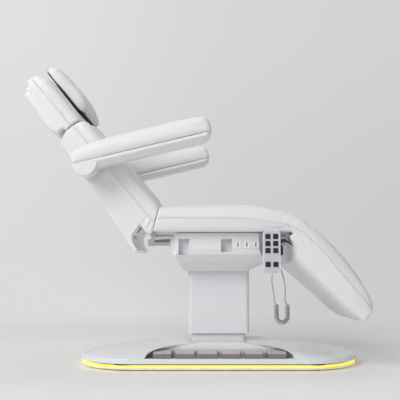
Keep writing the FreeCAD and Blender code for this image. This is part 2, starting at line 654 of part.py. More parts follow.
def housing_form(wall):
    """The housing's outside, or the hollow inside it when a wall is given."""
    back, front = -D["housing_back"], D["housing_front"]
    top = rail_top - 3
    low = top - D["housing_drop"]
    half = D["housing_width"] / 2
    plan = [(back, -half + 30), (back + 31, -half), (front - 30, -half), (front, -half + 30),
            (front, half - 30), (front - 30, half), (back + 31, half), (back, half - 30)]
    side = [(back, top), (back, top - 56), (back + 14, top - 86), (back + 34, top - 118),
            (back + 49, low + 5), (back + 60, low), (front - 67, low), (front - 10, low + 31),
            (front, low + 62), (front, top)]
    end = [(-half, top), (-half, top - 62), (-half + 8, top - 84), (-half + 40, top - 116),
           (-half + 100, low), (half - 100, low), (half - 40, top - 116), (half - 8, top - 84),
           (half, top - 62), (half, top)]
    if wall:
        plan, side, end = inset(plan, wall), inset(side, wall), inset(end, wall)
        side = [(a, b + (30 if b > top - 10 else 0)) for a, b in side]
        end = [(a, b + (30 if b > top - 10 else 0)) for a, b in end]
    form = prism(plan, "Z", low - 10, top + 60)
    form = form.common(prism(side, "Y", -half - 10, half + 10))
    return form.common(prism(end, "X", back - 10, front + 10))


wall = D["housing_wall"]
near = -D["housing_width"] / 2
outside = housing_form(0)
housing = outside.cut(housing_form(wall))
switch_z = rail_top - 48
POCKETS = ((-141, 42, 484, 63), (27.5, 43, 489.5, 51))
for x, wide, z, tall in POCKETS:
    z += rail_top - 541
    low, high = (x - wide / 2, near - 5, z - tall / 2), (x + wide / 2, near + 34, z + tall / 2)
    around = block([c - wall for c in low], [c + wall for c in high]).common(outside)
    housing = housing.fuse(around).cut(block(low, high))
rocker_places = [107.5 + (i - 1) * D["rocker_pitch"] for i in range(3)]
half_w, half_h = D["rocker_width"] / 2 + 0.6, D["rocker_height"] / 2 + 0.4
pivot_low = switch_z - D["rocker_height"] / 2 - 2.1
for x in rocker_places:
    housing = housing.cut(block((x - half_w, near - 5, switch_z - half_h),
                                (x + half_w, near + 8, switch_z + half_h)))
    pivot = Part.makeCylinder(1 + RUN, D["rocker_height"] + 4.2, V(x, near + 1.5, pivot_low))
    housing = housing.cut(pivot)
shroud_half = (D["shroud_length"] / 2 + 0.5, D["shroud_width"] / 2 + 0.5)
housing = housing.cut(block((-shroud_half[0], -shroud_half[1], 300),
                            (shroud_half[0], shroud_half[1], D["rail_bottom"])))
for s in (-1, 1):
    ends = sorted((s * (D["rail_offset"] - 0.5), s * (D["rail_offset"] + D["rail_width"] + 0.5)))
    housing = housing.cut(block((-400, ends[0], D["rail_bottom"] - 0.5), (400, ends[1], rail_top + 20)))
rod_z = hinge_z - 0.93 * D["lever_radius"]
back_hole = Part.makeCylinder(14, 30, V(-D["housing_back"] - 10, -D["rod_offset"], rod_z), V(1, 0, 0))
leg_hole = Part.makeCylinder(14, 30, V(D["housing_front"] - 20, D["rod_offset"], rod_z), V(1, 0, 0))
node("seat_housing", formed("seat_housing_form", housing.cut(back_hole).cut(leg_hole)))

for i in range(3):
    x = f"107.5 + ({i} - 1) * rocker_pitch"
    middle = "rail_bottom + rail_height - 48"
    node(f"rocker_{i + 1}", cut(
        f"rocker_{i + 1}_cut",
        fuse(f"rocker_{i + 1}_whole",
             box(f"rocker_{i + 1}_face", ("rocker_width", "8", "rocker_height"),
                 (f"{x} - rocker_width / 2", "-housing_width / 2 - 2.5", f"{middle} - rocker_height / 2")),
             rod(f"rocker_{i + 1}_pivot", "1", "rocker_height + 4",
                 (x, "-housing_width / 2 + 1.5", f"{middle} - rocker_height / 2 - 2"))),
        box(f"rocker_{i + 1}_slot", ("2", "2", "rocker_height * 0.72"),
            (f"{x} + 2", "-housing_width / 2 - 3.5", f"{middle} - rocker_height * 0.36"))))

node("control_box", box("control_box_form", ("150", "38", "48"),
                        ("-110", "housing_width / 2 - 48", "rail_bottom - 48")))

# Drives for back and legrest: a fixed tube and motor, and a rod whose slotted eye takes the lever's pin
rod_height = "rail_bottom + rail_height / 2 - 0.93 * lever_radius"
DRIVES = (("back", -1, "-back_hinge_reach", "-rod_offset"), ("leg", 1, "leg_hinge_reach", "rod_offset"))
for name, s, hinge, y in DRIVES:
    housing_end = "housing_back" if s < 0 else "housing_front"
    tube_start = f"-{housing_end} + 17" if s < 0 else "0"
    bore_start = f"-{housing_end} + 7" if s < 0 else "30"
    motor_start = "0" if s < 0 else "-70"
    node(f"{name}_actuator", cut(
        f"{name}_actuator_cut",
        fuse(f"{name}_actuator_whole",
             rod(f"{name}_tube", "14.5", f"{housing_end} - 17", (tube_start, y, rod_height), "X"),
             box(f"{name}_motor", ("70", "46", "66"), (motor_start, f"{y} - 23", "rail_bottom - 66"))),
        rod(f"{name}_bore", "11.7", f"{housing_end} - 37", (bore_start, y, rod_height), "X")))
    pin_x = f"({hinge} - lever_radius * sin(25))"
    rod_start = f"{pin_x} + 8" if s < 0 else "50"
    rod_length = "back_hinge_reach + lever_radius * sin(25) - 68" if s < 0 else f"{pin_x} - 58"
    slot_tall = "lever_radius * (1 - cos(25)) + 11.6"
    node(f"{name}_rod", cut(
        f"{name}_rod_cut",
        fuse(f"{name}_rod_whole",
             rod(f"{name}_rod_bar", "11.5", rod_length, (rod_start, y, rod_height), "X"),
             box(f"{name}_rod_eye", ("26", "23", "26"),
                 (f"{pin_x} - 13", f"{y} - 11.5", f"{rod_height} - 13"))),
        box(f"{name}_rod_slot", ("11.2", "40", slot_tall),
            (f"{pin_x} - 5.6", f"{y} - 20", f"{rod_height} - ({slot_tall}) / 2 - 0.3"))))


def lever(towards, y, angle):
    """The lever of a drive with its pin, in its frame's own axes; angle is that of the pin from the hinge."""
    reach = D["lever_radius"]
    a, b = reach * math.cos(angle), reach * math.sin(angle)
    low, high = sorted((y + towards * 13, y + towards * 21))
    plate = barrel(9, a, b, low, high).fuse(barrel(bar, 0, 0, low, high))
    na, nb = -9 * math.sin(angle), 9 * math.cos(angle)
    plate = plate.fuse(prism([(na, nb), (a + na, b + nb), (a - na, b - nb), (-na, -nb)], "Y", low, high))
    ends = sorted((y - towards * 12, y + towards * 21))
    return plate.fuse(barrel(5, a, b, *ends))


# Frames of back and legrest in their own axes: two bars, a tube on the hinge axis, cross pieces and a lever
bar_in = D["rail_offset"] - D["rail_width"] - 0.5
bar_out = D["rail_offset"] - 0.5


def two_bars(length, upright):
    form = barrel(bar, 0, 0, -bar_in, bar_in)
    for low, high in ((bar_in, bar_out), (-bar_out, -bar_in)):
        corner = ((-bar, low, 0), (bar, high, length)) if upright else ((0, low, -bar), (length, high, bar))
        form = form.fuse(block(*corner)).fuse(barrel(bar, 0, 0, low, high))
    return form


def cross_bar(start, upright):
    corner = ((-bar, -bar_in - 1, start), (bar, bar_in + 1, start + 20))
    if not upright:
        corner = ((start, -bar_in - 1, -bar), (start + 20, bar_in + 1, bar))
    return block(*corner)


head_hinge = (-D["head_hinge_depth"], D["back_length"] - 11)
arm_pivot = (-D["arm_pivot_depth"], D["arm_pivot_up"])
bar_end = D["back_length"] - 31
frame = two_bars(bar_end, True).fuse(cross_bar(130, True)).fuse(cross_bar(bar_end - 20, True))
for s in (1, -1):
    low, high = sorted((s * bar_in, s * bar_out))
    frame = frame.fuse(barrel(22, *arm_pivot, low, high))
    frame = frame.fuse(barrel(12, *head_hinge, low + 1, high))
    frame = frame.fuse(block((head_hinge[0] - 8, low + 1, bar_end - 40), (-bar + 1, high, head_hinge[1])))
pin_angle = math.radians(-115 + D["back_angle"] - 90)
frame = frame.fuse(lever(-1, -D["rod_offset"], pin_angle))
across = 2 * bar_out + 20
frame = frame.cut(barrel(D["pin_radius"] + RUN, 0, 0, bar_in - 0.5, across)).cut(
    barrel(D["pin_radius"] + RUN, 0, 0, -across, -bar_in + 0.5))
frame = frame.cut(barrel(D["arm_shaft_radius"], *arm_pivot, -across, across))
frame = frame.cut(barrel(7, *head_hinge, -across, across))
node("back_frame", tilt("back", formed("back_frame_form", frame.removeSplitter())))

arm_in = D["arm_inside"]
shaft_end = arm_in + D["arm_width"] - 15
pieces = []
for s in (1, -1):
    pieces.append(barrel(7, *head_hinge, *sorted((s * (bar_in - 21), s * bar_out))))
    pieces.append(barrel(D["arm_shaft_radius"], *arm_pivot, *sorted((s * bar_in, s * shaft_end))))
node("back_pins", tilt("back", formed("back_pins_form", Part.makeCompound(pieces))))

# Back cushion and shell: crest rounded about a point inside the back
crest_round = 130
crest = (30, D["back_length"] - crest_round)
place_back = FreeCAD.Placement(V(back_x, 0, hinge_z), FreeCAD.Rotation(V(0, 1, 0), D["back_angle"] - 90))
to_back = place_back.inverse().toMatrix()


def below_crest(form, gap):
    """Trims a form to the round crest of the back, less a gap."""
    keep = barrel(crest_round - gap, *crest, -600, 600)
    above = block((-300, -600, crest[1]), (300, 600, crest[1] + 400)).cut(keep)
    return form.cut(above)


rear = bar + 0.5
length = D["back_length"]
stations = [(place, half_cushion, rear, D["back_front"])
            for place in (10, 0.16 * length, 0.4 * length, 0.7 * length)]
stations.append((0.93 * length, half_cushion - 2, rear, D["back_front"] - 1))
stations.append((0.975 * length, half_cushion - 6, rear, D["back_front"] - 9))
stations.append((1.01 * length, half_cushion - 14, rear, D["back_front"] - 24))
in_front = block((-1200, -590, -400), (1200, 590, 2400)).cut(behind_fold(0.4))
back = below_crest(cushion(stations, True, 10), 0).cut(in_front.transformed(to_back))
node("back_cushion", tilt("back", formed("back_cushion_form", back)))

low_depth, high_depth = D["back_depth_low"], D["back_depth_high"]
SHELL_TAPER = ((0.955, 0.0), (0.75, 0.23), (0.5, 0.42), (0.28, 0.71), (0.09, 0.9), (-0.017, 1.0))
AHEAD = 30
rear_line = [(-(high_depth + (low_depth - high_depth) * t), length * u) for u, t in SHELL_TAPER]
foot_line = [(-0.85 * low_depth, -0.017 * length), (-0.79 * low_depth, 27), (-0.62 * low_depth, 51),
             (-16, 63), (bar + AHEAD, 66)]
profile = [(bar + AHEAD, length + 4), (-0.7 * high_depth, length + 4)] + rear_line + foot_line
shell_half = half_cushion - 5


def in_front_of(level, upright):
    """Everything ahead of a frame's bars."""
    if upright:
        return block((level, -600, -400), (level + 400, 600, 1200))
    return block((-400, -600, level), (1200, 600, level + 400))


outer = below_crest(soft_prism(profile, -shell_half, shell_half, 4), 1)
inner = below_crest(soft_prism(inset(profile, 3), -shell_half + 3, shell_half - 3, 2), 4)
shell = outer.cut(inner).cut(in_front_of(bar, True))
shell = shell.cut(barrel(D["arm_shaft_radius"] + 2, *arm_pivot, -600, 600))
for s in (1, -1):
    low, high = sorted((s * (bar_in - 25), s * (bar_out + 3)))
    shell = shell.cut(block((head_hinge[0] - 18, low, length - 45), (bar + 1, high, length + 20)))
    low, high = sorted((s * (bar_in - 3), s * (bar_out + 3)))
    shell = shell.cut(block((-bar - 3, low, -60), (bar + 1, high, 90)))
lever_y = -D["rod_offset"]
shell = shell.cut(block((-45, lever_y - 25, -60), (bar + 1, lever_y + 25, 70)))
node("back_shell", tilt("back", formed("back_shell_form", shell)))

# Headrest, drawn in the back's own axes because the two line up at rest
head_low = length - 6
head_top = head_low + D["head_length"] + 6
head_rear = 0.5
front = D["head_front"]
HEAD_ROUND = ((0.0, 0, 6), (0.3, 0, 3), (0.65, 0, 0), (0.8, 1, 0), (0.89, 4, 7), (0.965, 11, 23),
              (0.995, 24, 46))
stations = [(head_low - 20, half_cushion - 4, head_rear, front - 6)]
for along, narrow, fall in HEAD_ROUND:
    place = head_low + (head_top - head_low) * along
    stations.append((place, half_cushion - 4 - narrow, head_rear, front - fall))
head = cushion(stations, True, 8).cut(barrel(crest_round + 4, *crest, -600, 600))
head = head.cut(block((-100, -600, head_low - 200), (100, 600, crest[1] + 60)))
node("head_cushion", tilt("back", formed("head_cushion_form", head)))

profile = [(AHEAD, head_low + 19), (AHEAD, head_top - 26), (-15, head_top - 36), (-36, head_top - 46),
           (-46, head_low + 50), (-31, head_low + 19)]
shell = moulded(profile, half_cushion - 9, 3, 12).cut(in_front_of(0, True))
for s in (1, -1):
    low, high = sorted((s * (bar_in - 25), s * (bar_in + 2)))
    shell = shell.cut(block((-60, low, head_low), (1, high, head_low + 40)))
node("head_shell", tilt("back", formed("head_shell_form", shell)))

frame = block((-9, -bar_in, head_low + 50), (0, bar_in, head_top - 60))
for s in (1, -1):
    low, high = sorted((s * (bar_in - 20), s * (bar_in - 0.5)))
    frame = frame.fuse(barrel(12, *head_hinge, low, high))
    frame = frame.fuse(prism([(head_hinge[0] - 8, head_hinge[1]), (head_hinge[0] + 8, head_hinge[1]),
                              (0, head_low + 45), (0, head_low + 80), (-12, head_low + 80)], "Y", low, high))
frame = frame.cut(barrel(7 + RUN, *head_hinge, -600, 600)).common(
    block((-60, -600, 0), (0, 600, 2000)))
node("head_frame", tilt("back", formed("head_frame_form", frame.removeSplitter())))

pillow_low = head_low + 40
pillow_rear = front + 3.5
thick = D["pillow_thickness"]
PILLOW = ((0.0, 40, 0.32, 0.52), (0.02, 24, 0.18, 0.63), (0.05, 14, 0.09, 0.73), (0.09, 7, 0.02, 0.83),
          (0.15, 2, 0.0, 0.9), (0.23, 0, 0.0, 0.96), (0.33, 0, 0.0, 1.0), (0.6, 0, 0.0, 1.0),
          (0.72, 0, 0.0, 0.97), (0.88, 2, 0.0, 0.9), (0.93, 7, 0.03, 0.81), (0.965, 15, 0.08, 0.7),
          (0.985, 24, 0.16, 0.58), (1.0, 40, 0.27, 0.42))
stations = [(pillow_low + D["pillow_length"] * along, D["pillow_width"] / 2 - narrow,
             pillow_rear + low * thick, pillow_rear + high * thick) for along, narrow, low, high in PILLOW]
node("pillow", tilt("back", formed("pillow_form", cushion(stations, True, 8))))

low, high = head_low + 70, head_low + 190
wedge = [(front - 30, low), (pillow_rear - 0.3, low), (pillow_rear - 0.3, high), (front - 30, high)]
wedge = prism(wedge, "Y", -D["pillow_width"] / 4, D["pillow_width"] / 4)
node("pillow_mount", tilt("back", formed("pillow_mount_form", wedge.cut(head))))

# Arms in their own axes about the pivot: a tray with a slanted underside and round boss, and a pad
arm_end = D["arm_length"]
lip = D["arm_lip"]
for side, s in (("near", -1), ("far", 1)):
    low, high = sorted((s * arm_in, s * (arm_in + D["arm_width"])))
    middle = (low + high) / 2
    half = D["arm_width"] / 2
    rings = []
    for drop, narrow, ends in ((29, 24, 30), (11, 0, 4), (4, 0, 2), (0, 2, 4)):
        back_end, front_end = -47 + ends, arm_end - 3 - ends
        cut_off = 16
        loop = [(back_end, -half + narrow), (front_end - cut_off, -half + narrow),
                (front_end, -half + narrow + cut_off), (front_end, half - narrow - cut_off),
                (front_end - cut_off, half - narrow), (back_end, half - narrow)]
        rings.append(Part.makePolygon([V(a, middle + y, lip - drop) for a, y in loop + loop[:1]]))
    tray = Part.makeLoft(rings, True, True)
    boss = barrel(46, 0, lip - 4, low, high).common(block((-60, low, -60), (60, high, lip)))
    hollow = block((70, middle - half + 30, lip - 24), (arm_end - 50, middle + half - 30, lip + 6))
    hollow = hollow.fuse(block((70, middle - half + 6, lip - 9), (arm_end - 40, middle + half - 6, lip + 6)))
    ends = sorted((s * (arm_in - 5), s * (shaft_end + 0.2)))
    tray = tray.fuse(boss).cut(hollow).cut(barrel(D["arm_shaft_radius"] + RUN, 0, 0, *ends))
    node(f"arm_shell_{side}", tilt("arm", formed(f"arm_shell_{side}_form", tray.removeSplitter())))
    tall = D["arm_pad_height"]
    ARM = ((-48, 16, 0.42), (-44, 6, 0.6), (-36, 2, 0.74), (-15, 0, 0.87), (25, 0, 0.96), (90, 0, 1.0),
           (arm_end * 0.6, 0, 1.0), (arm_end - 45, 0, 1.0), (arm_end - 16, 3, 0.95),
           (arm_end - 5, 9, 0.8), (arm_end, 20, 0.55))
    stations = [(a, half - narrow, lip + 0.3, lip + 0.3 + tall * share) for a, narrow, share in ARM]
    pad_form = cushion(stations, False, 6, middle)
    node(f"arm_pad_{side}", tilt("arm", formed(f"arm_pad_{side}_form", pad_form)))

# Legrest in its own axes: length along X, front of the cushion towards +Z
leg_end = D["leg_length"]
frame = two_bars(leg_end - 50, False).fuse(cross_bar(120, False)).fuse(cross_bar(leg_end - 70, False))
pin_angle = math.radians(-115 + D["leg_angle"])
frame = frame.fuse(lever(1, D["rod_offset"], pin_angle))
frame = frame.cut(barrel(D["pin_radius"] + RUN, 0, 0, bar_in - 0.5, across)).cut(
    barrel(D["pin_radius"] + RUN, 0, 0, -across, -bar_in + 0.5))
node("leg_frame", tilt("leg", formed("leg_frame_form", frame.removeSplitter())))

LEG_TOP = ((0.035, 0, 0.897), (0.07, 0, 0.92), (0.135, 0, 0.953), (0.26, 0, 0.99), (0.385, 0, 1.0),
           (0.52, 0, 0.986), (0.66, 1, 0.944), (0.765, 2, 0.888), (0.845, 4, 0.832), (0.925, 9, 0.729),
           (0.964, 15, 0.598), (0.989, 23, 0.383), (1.0, 34, 0.19))
stations = [(leg_end * a, half_cushion - narrow, bar + 0.5, D["leg_front"] * top)
            for a, narrow, top in LEG_TOP]
leg = cushion(stations, False).cut(barrel(1.035 * nose + 0.5, 0, 0, -600, 600))
node("leg_cushion", tilt("leg", formed("leg_cushion_form", leg)))

# Leg shell: a rounded hull, deepest behind the knee, where a slanted end closes it between two cheeks
deep = D["leg_depth"]
leg_half = half_cushion - 12
LEG_HULL = ((0.009, 0, 0.12), (0.1, 0, 0.46), (0.172, 0, 0.85), (0.182, 0, 1.0), (0.3, 0, 0.915),
            (0.46, 0, 0.77), (0.6, 0, 0.665), (0.72, 0, 0.575), (0.85, 2, 0.5), (0.925, 8, 0.4),
            (0.965, 14, 0.26), (0.985, 22, 0.14))


def hull_section(place, half, depth):
    """An outline across the leg shell: straight cheeks above, a flattened round below."""
    round_off = 2 / 2.6
    run = []
    for k in range(25):
        turn = math.pi * k / 24
        across = math.copysign(abs(math.cos(turn)) ** round_off, math.cos(turn))
        run.append(V(place, half * across, -depth * math.sin(turn) ** round_off))
    curve = Part.BSplineCurve()
    curve.interpolate(run)
    corners = [run[-1], V(place, -half, bar + AHEAD), V(place, half, bar + AHEAD), run[0]]
    return Part.Wire([curve.toShape()] + [Part.makeLine(p, q) for p, q in zip(corners, corners[1:])])


outer, inner = [], []
for share, narrow, depth in LEG_HULL:
    outer.append(hull_section(share * leg_end, leg_half - narrow, depth * deep))
    shift = 3 if share < 0.2 else -3 if share > 0.95 else 0
    inner.append(hull_section(share * leg_end + shift, leg_half - narrow - 3, max(depth * deep - 3, 2)))
shell = Part.makeLoft(outer, True, True).cut(Part.makeLoft(inner, True, True)).cut(in_front_of(bar, False))
shell = shell.cut(block((-60, -leg_half + 15, -bar - 8), (48, leg_half - 15, bar + AHEAD)))
lever_y = D["rod_offset"]
shell = shell.cut(block((-60, lever_y - 25, -0.46 * deep - 2), (48, lever_y + 25, bar + AHEAD)))
for s in (1, -1):
    low, high = sorted((s * (bar_in - 2), s * (bar_out + 2)))
    shell = shell.cut(block((0, low, -bar - 3), (80, high, bar + 1)))
node("leg_shell", tilt("leg", formed("leg_shell_form", shell)))

# Holder and handset
handset_back = "-cushion_width / 2 + handset_tuck"
holder_low = "rail_bottom - 67"
node("handset_holder", fuse(
    "handset_holder_form",
    box("holder_foot", ("6", "(cushion_width - housing_width) / 2 - handset_tuck + 38", "40"),
        ("housing_front", f"{handset_back} + 5", holder_low)),
    box("holder_plate", ("handset_x + handset_width / 2 + 11 - housing_front", "6", "40"),
        ("housing_front", handset_back, holder_low)),
    box("holder_cheek", ("9", "26", "30"),
        ("handset_x + handset_width / 2 + 2", f"{handset_back} - 20", f"{holder_low} + 3"))))


def rounded_slab(name, width, height, radius, depth, at):
    """A plate with rounded corners that stands upright and runs towards -Y from the given point."""
    slab = doc.addObject("PartDesign::Body", name)
    face = sketch_on(slab, "XZ", name + "_outline")
    rounded_rectangle(face, name, width, height, radius, (D["handset_width"] / 2, D["handset_height"] / 2))
    pad(slab, face, name + "_pad", depth)
    return move(slab, at)


middle_z = "handset_low + handset_height / 2"
case_back = f"{handset_back} - 0.3"
case = rounded_slab("handset_case", "handset_width", "handset_height", "16", "handset_depth",
                    ("handset_x", case_back, middle_z))
well = rounded_slab("handset_well", "handset_width - 7", "handset_height - 7", "12.5", "handset_depth",
                    ("handset_x", f"{case_back} - 3", middle_z))
gland = rod("handset_gland", "5", "14", ("handset_x", f"{case_back} - handset_depth / 2", "handset_low - 12"))
node("handset_back", fuse("handset_back_form", cut("handset_tray", case, well), gland))

keys, windows = [], []
for i in range(8):
    column, row = i % 2, i // 2
    x = f"handset_x + ({column} - 0.5) * key_pitch_across"
    z = f"handset_low + handset_height - 25.5 - {row} * key_pitch_down" if row < 3 else "handset_low + 38.5"
    y = f"{case_back} - handset_depth - 2.2"
    node(f"key_{i + 1}", box(f"key_{i + 1}_form", ("key_size", "6", "key_size"),
                             (f"{x} - key_size / 2", y, f"{z} - key_size / 2")))
    windows.append(box(f"key_{i + 1}_window", ("key_size + 0.6", "12", "key_size + 0.6"),
                       (f"{x} - key_size / 2 - 0.3", f"{y} - 2", f"{z} - key_size / 2 - 0.3")))
face = rounded_slab("handset_face", "handset_width - 7.2", "handset_height - 7.2", "12.4", "3",
                    ("handset_x", f"{case_back} - handset_depth + 3", middle_z))
node("handset_front", cut("handset_front_form", face, *windows))

# Cord: straight runs joined by tangent arcs, and a curl wound along a hanging loop
cord_r = D["cord_radius"]
cord_x = D["handset_x"]
cord_y = -D["cushion_width"] / 2 + D["handset_tuck"] - 0.3 - D["handset_depth"] / 2
gland_low = D["handset_low"] - 12
socket_y = -D["cushion_width"] / 2 + D["handset_tuck"] + 5.5
socket_x = D["handset_x"] + 25
socket_low = D["rail_bottom"] - 80
node("cord_socket", rod("cord_socket_form", "5", "13",
                        ("handset_x + 25", f"{handset_back} + 5.5", "rail_bottom - 80")))


def tube(name, wire, start, direction):
    """A solid tube of the cord's section along a wire, its volume compared with section times length."""
    section = Part.Wire(Part.makeCircle(cord_r, start, direction))
    solid = wire.makePipeShell([section], True, False)
    share = solid.Volume / (math.pi * cord_r ** 2 * wire.Length)
    print(f"{name}: length {wire.Length:.1f} mm, volume {share:.4f} of section times length")
    return solid


def route(name, points):
    """Straight runs through the points with a tangent arc at each bend."""
    edges, start = [], points[0]
    for before, bend, after in zip(points, points[1:], points[2:]):
        come, go = (bend - before), (after - bend)
        shorter = min(come.Length, go.Length)
        come.normalize()
        go.normalize()
        half_turn = math.acos(max(-1, min(1, come.dot(go)))) / 2
        back_off = 0.45 * shorter
        radius = back_off / math.tan(half_turn)
        first, last = bend - come * back_off, bend + go * back_off
        inward = (go - come).normalize()
        middle = bend + inward * (radius / math.cos(half_turn) - radius)
        print(f"{name}: bend radius {radius:.0f} mm")
        edges += [Part.LineSegment(start, first).toShape(), Part.Arc(first, middle, last).toShape()]
        start = last
    edges.append(Part.LineSegment(start, points[-1]).toShape())
    return tube(name, Part.Wire(edges), points[0], points[1] - points[0])


def biarc(start, go, end, come):
    """Two arcs, tangent to each other, from one point and direction to another."""
    span = end - start
    both = go + come
    spread = 2 * (1 - go.dot(come))
    along = span.dot(both)
    reach = (math.sqrt(along ** 2 + spread * span.dot(span)) - along) / spread
    joint = (start + end + (go - come) * reach) * 0.5
    arcs = []
    for point, direction, other in ((start, go, joint), (end, come * -1, joint)):
        chord = other - point
        turn = math.acos(max(-1, min(1, direction.dot(chord) / chord.Length)))
        side = (chord - direction * direction.dot(chord)).normalize()
        radius = chord.Length / (2 * math.sin(turn))
        middle = point + side * radius * (1 - math.cos(turn)) + direction * radius * math.sin(turn)
        arcs.append((point, middle, other))
    (a, b, c), (f, e, d) = arcs
    return [Part.Arc(a, b, c).toShape(), Part.Arc(d, e, f).toShape()]


hang_x = cord_x + 8.5
loop_x = hang_x + D["curl_radius"]
loop_round = 21
loop_top = gland_low - 97
leg_run = 54
curl_end_x = loop_x + 2 * loop_round - D["curl_radius"]


def loop(s):
    """Point, direction and outward normal of the hanging loop after a length s."""
    turn = math.pi * loop_round
    if s < leg_run:
        return V(loop_x, cord_y, loop_top - s), V(0, 0, -1), V(-1, 0, 0)
    if s > leg_run + turn:
        rise = s - leg_run - turn
        return V(loop_x + 2 * loop_round, cord_y, loop_top - leg_run + rise), V(0, 0, 1), V(1, 0, 0)
    t = (s - leg_run) / loop_round
    out = V(-math.cos(t), 0, -math.sin(t))
    middle = V(loop_x + loop_round, cord_y, loop_top - leg_run)
    return middle + out * loop_round, V(math.sin(t), 0, -math.cos(t)), out


loop_length = 2 * leg_run + math.pi * loop_round
lead_in = 7
half_turns = 2 * int((loop_length - 2 * lead_in) / D["curl_pitch"]) + 1
wound = loop_length - 2 * lead_in


def curl(k):
    """Point and direction of the cord after k half turns of the curl."""
    def point(turns):
        s = lead_in + wound * (turns - 0.5) / (half_turns - 1)
        centre, _, out = loop(s)
        angle = math.pi * turns
        return centre + (out * math.cos(angle) + V(0, 1, 0) * math.sin(angle)) * D["curl_radius"]
    step = 0.002
    return point(k), (point(k + step) - point(k - step)).normalize()


drop_end = V(hang_x, cord_y, loop_top + 2 * cord_r)
lead_start = V(curl_end_x, cord_y, loop_top + 2 * cord_r)
joints = [(V(hang_x, cord_y, loop_top), V(0, 0, -1))]
joints += [curl(0.5 + k) for k in range(half_turns)]
joints.append((V(curl_end_x, cord_y, loop_top), V(0, 0, 1)))
edges = [Part.LineSegment(drop_end, joints[0][0]).toShape()]
for (start, go), (end, come) in zip(joints, joints[1:]):
    edges += biarc(start, go, end, come)
edges.append(Part.LineSegment(joints[-1][0], lead_start).toShape())
curl_wire = Part.Wire(edges)
spots, along = [], 0.0
for edge in edges:
    pieces = max(2, int(edge.Length / 0.8))
    for point in edge.discretize(pieces + 1)[:-1]:
        spots.append((along, point))
        along += edge.Length / pieces
least = min((p.distanceToPoint(q), a) for i, (a, p) in enumerate(spots) for b, q in spots[i + 1:]
            if b - a > 14 and abs(p.z - q.z) < 12)
print(f"cord_curl: {half_turns / 2:.1f} curls, least gap to itself {least[0] - 2 * cord_r:.2f} mm")

drop_points = [V(cord_x, cord_y, gland_low), V(cord_x, cord_y, gland_low - 31),
               V(hang_x, cord_y, gland_low - 62), drop_end]
lead_points = [lead_start, V(curl_end_x, cord_y, lead_start.z + 26),
               V(curl_end_x + 1.5, cord_y, lead_start.z + 56),
               V(curl_end_x - 4, cord_y + 7, lead_start.z + 88),
               V(cord_x + 40, socket_y, lead_start.z + 120),
               V(socket_x, socket_y, socket_low - 17), V(socket_x, socket_y, socket_low)]
node("cord_drop", formed("cord_drop_form", route("cord_drop", drop_points)))
node("cord_curl", formed("cord_curl_form", tube("cord_curl", curl_wire, drop_end, V(0, 0, -1))))
node("cord_lead", formed("cord_lead_form", route("cord_lead", lead_points)))

# Checks and export
doc.recompute()
for obj in doc.Objects:
    if {"Invalid", "Error"} & set(obj.State):
        raise RuntimeError(f"{obj.Name}: {obj.State}")
os.makedirs("parts", exist_ok=True)
for name, obj in NODES.items():
    form = obj.Shape
    if form.isNull() or not form.isValid() or not form.Solids:
        raise RuntimeError(f"{name} has no valid solid")
    form.exportStep(f"parts/{name}.step")
    print(f"{name}: {len(form.Solids)} solid, {form.Volume / 1000:.1f} cm3")
print(len(NODES), "nodes")
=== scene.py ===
"""Dresses a powered procedure chair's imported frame: upholstery, finishes, handset cord and studio."""
import math

import bmesh
import bpy
import numpy as np
from bpy.props import FloatProperty, FloatVectorProperty, IntProperty, PointerProperty
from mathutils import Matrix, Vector


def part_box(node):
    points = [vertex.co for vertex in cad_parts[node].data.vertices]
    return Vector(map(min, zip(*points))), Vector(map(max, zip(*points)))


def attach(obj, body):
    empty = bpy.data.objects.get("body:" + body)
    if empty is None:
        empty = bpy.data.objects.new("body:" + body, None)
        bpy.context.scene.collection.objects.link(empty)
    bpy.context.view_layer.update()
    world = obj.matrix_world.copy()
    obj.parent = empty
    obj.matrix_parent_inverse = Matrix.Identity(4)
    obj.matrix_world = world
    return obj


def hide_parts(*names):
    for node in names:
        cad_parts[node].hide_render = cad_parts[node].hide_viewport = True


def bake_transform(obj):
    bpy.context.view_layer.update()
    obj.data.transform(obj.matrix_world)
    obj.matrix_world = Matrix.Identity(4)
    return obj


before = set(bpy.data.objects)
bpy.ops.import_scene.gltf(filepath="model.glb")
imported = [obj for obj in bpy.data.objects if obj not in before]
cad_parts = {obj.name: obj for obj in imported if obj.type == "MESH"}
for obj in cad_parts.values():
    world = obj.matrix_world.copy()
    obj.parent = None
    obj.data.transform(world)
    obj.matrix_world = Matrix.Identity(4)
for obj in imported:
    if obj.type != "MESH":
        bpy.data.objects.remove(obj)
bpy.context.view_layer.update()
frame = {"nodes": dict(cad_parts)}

bl_info = {
    "name": "Procedure chair dressing",
    "version": (1, 0, 0),
    "blender": (4, 5, 0),
    "location": "3D View > Sidebar > Chair",
    "description": "Upholstery, finishes, handset cord and studio for a powered procedure chair",
    "category": "Object",
}

# Side-view axes of the sections at rest: origin, along, outward (X, Z in metres)
SEAT = ((0.0, 0.0), (1.0, 0.0), (0.0, 1.0))
BACK = ((-0.262, 0.529), (-0.64279, 0.76604), (0.76604, 0.64279))
LEG = ((0.272, 0.529), (0.65606, -0.75471), (0.75471, 0.65606))
ARM = ((-0.50702, 0.78460), (0.97237, 0.23345), (-0.23345, 0.97237))

# Points closer than this are one, in metres
WELD_GAP = 0.00002
# Edges that turn more than this stay sharp, or are bevelled
SHARP_TURN, BEVEL_TURN = math.radians(30), math.radians(32)
# Furthest that the cloth run may draw a hide in, in metres
MOST_SINK = 0.0006
# Weights below this are left out of a vertex group
LEAST_WEIGHT = 0.02


def tint(red, green, blue):
    """Turns screen values of 0 to 255 into the linear colour that the shaders take."""
    return tuple(((v / 255 + 0.055) / 1.055) ** 2.4 for v in (red, green, blue))


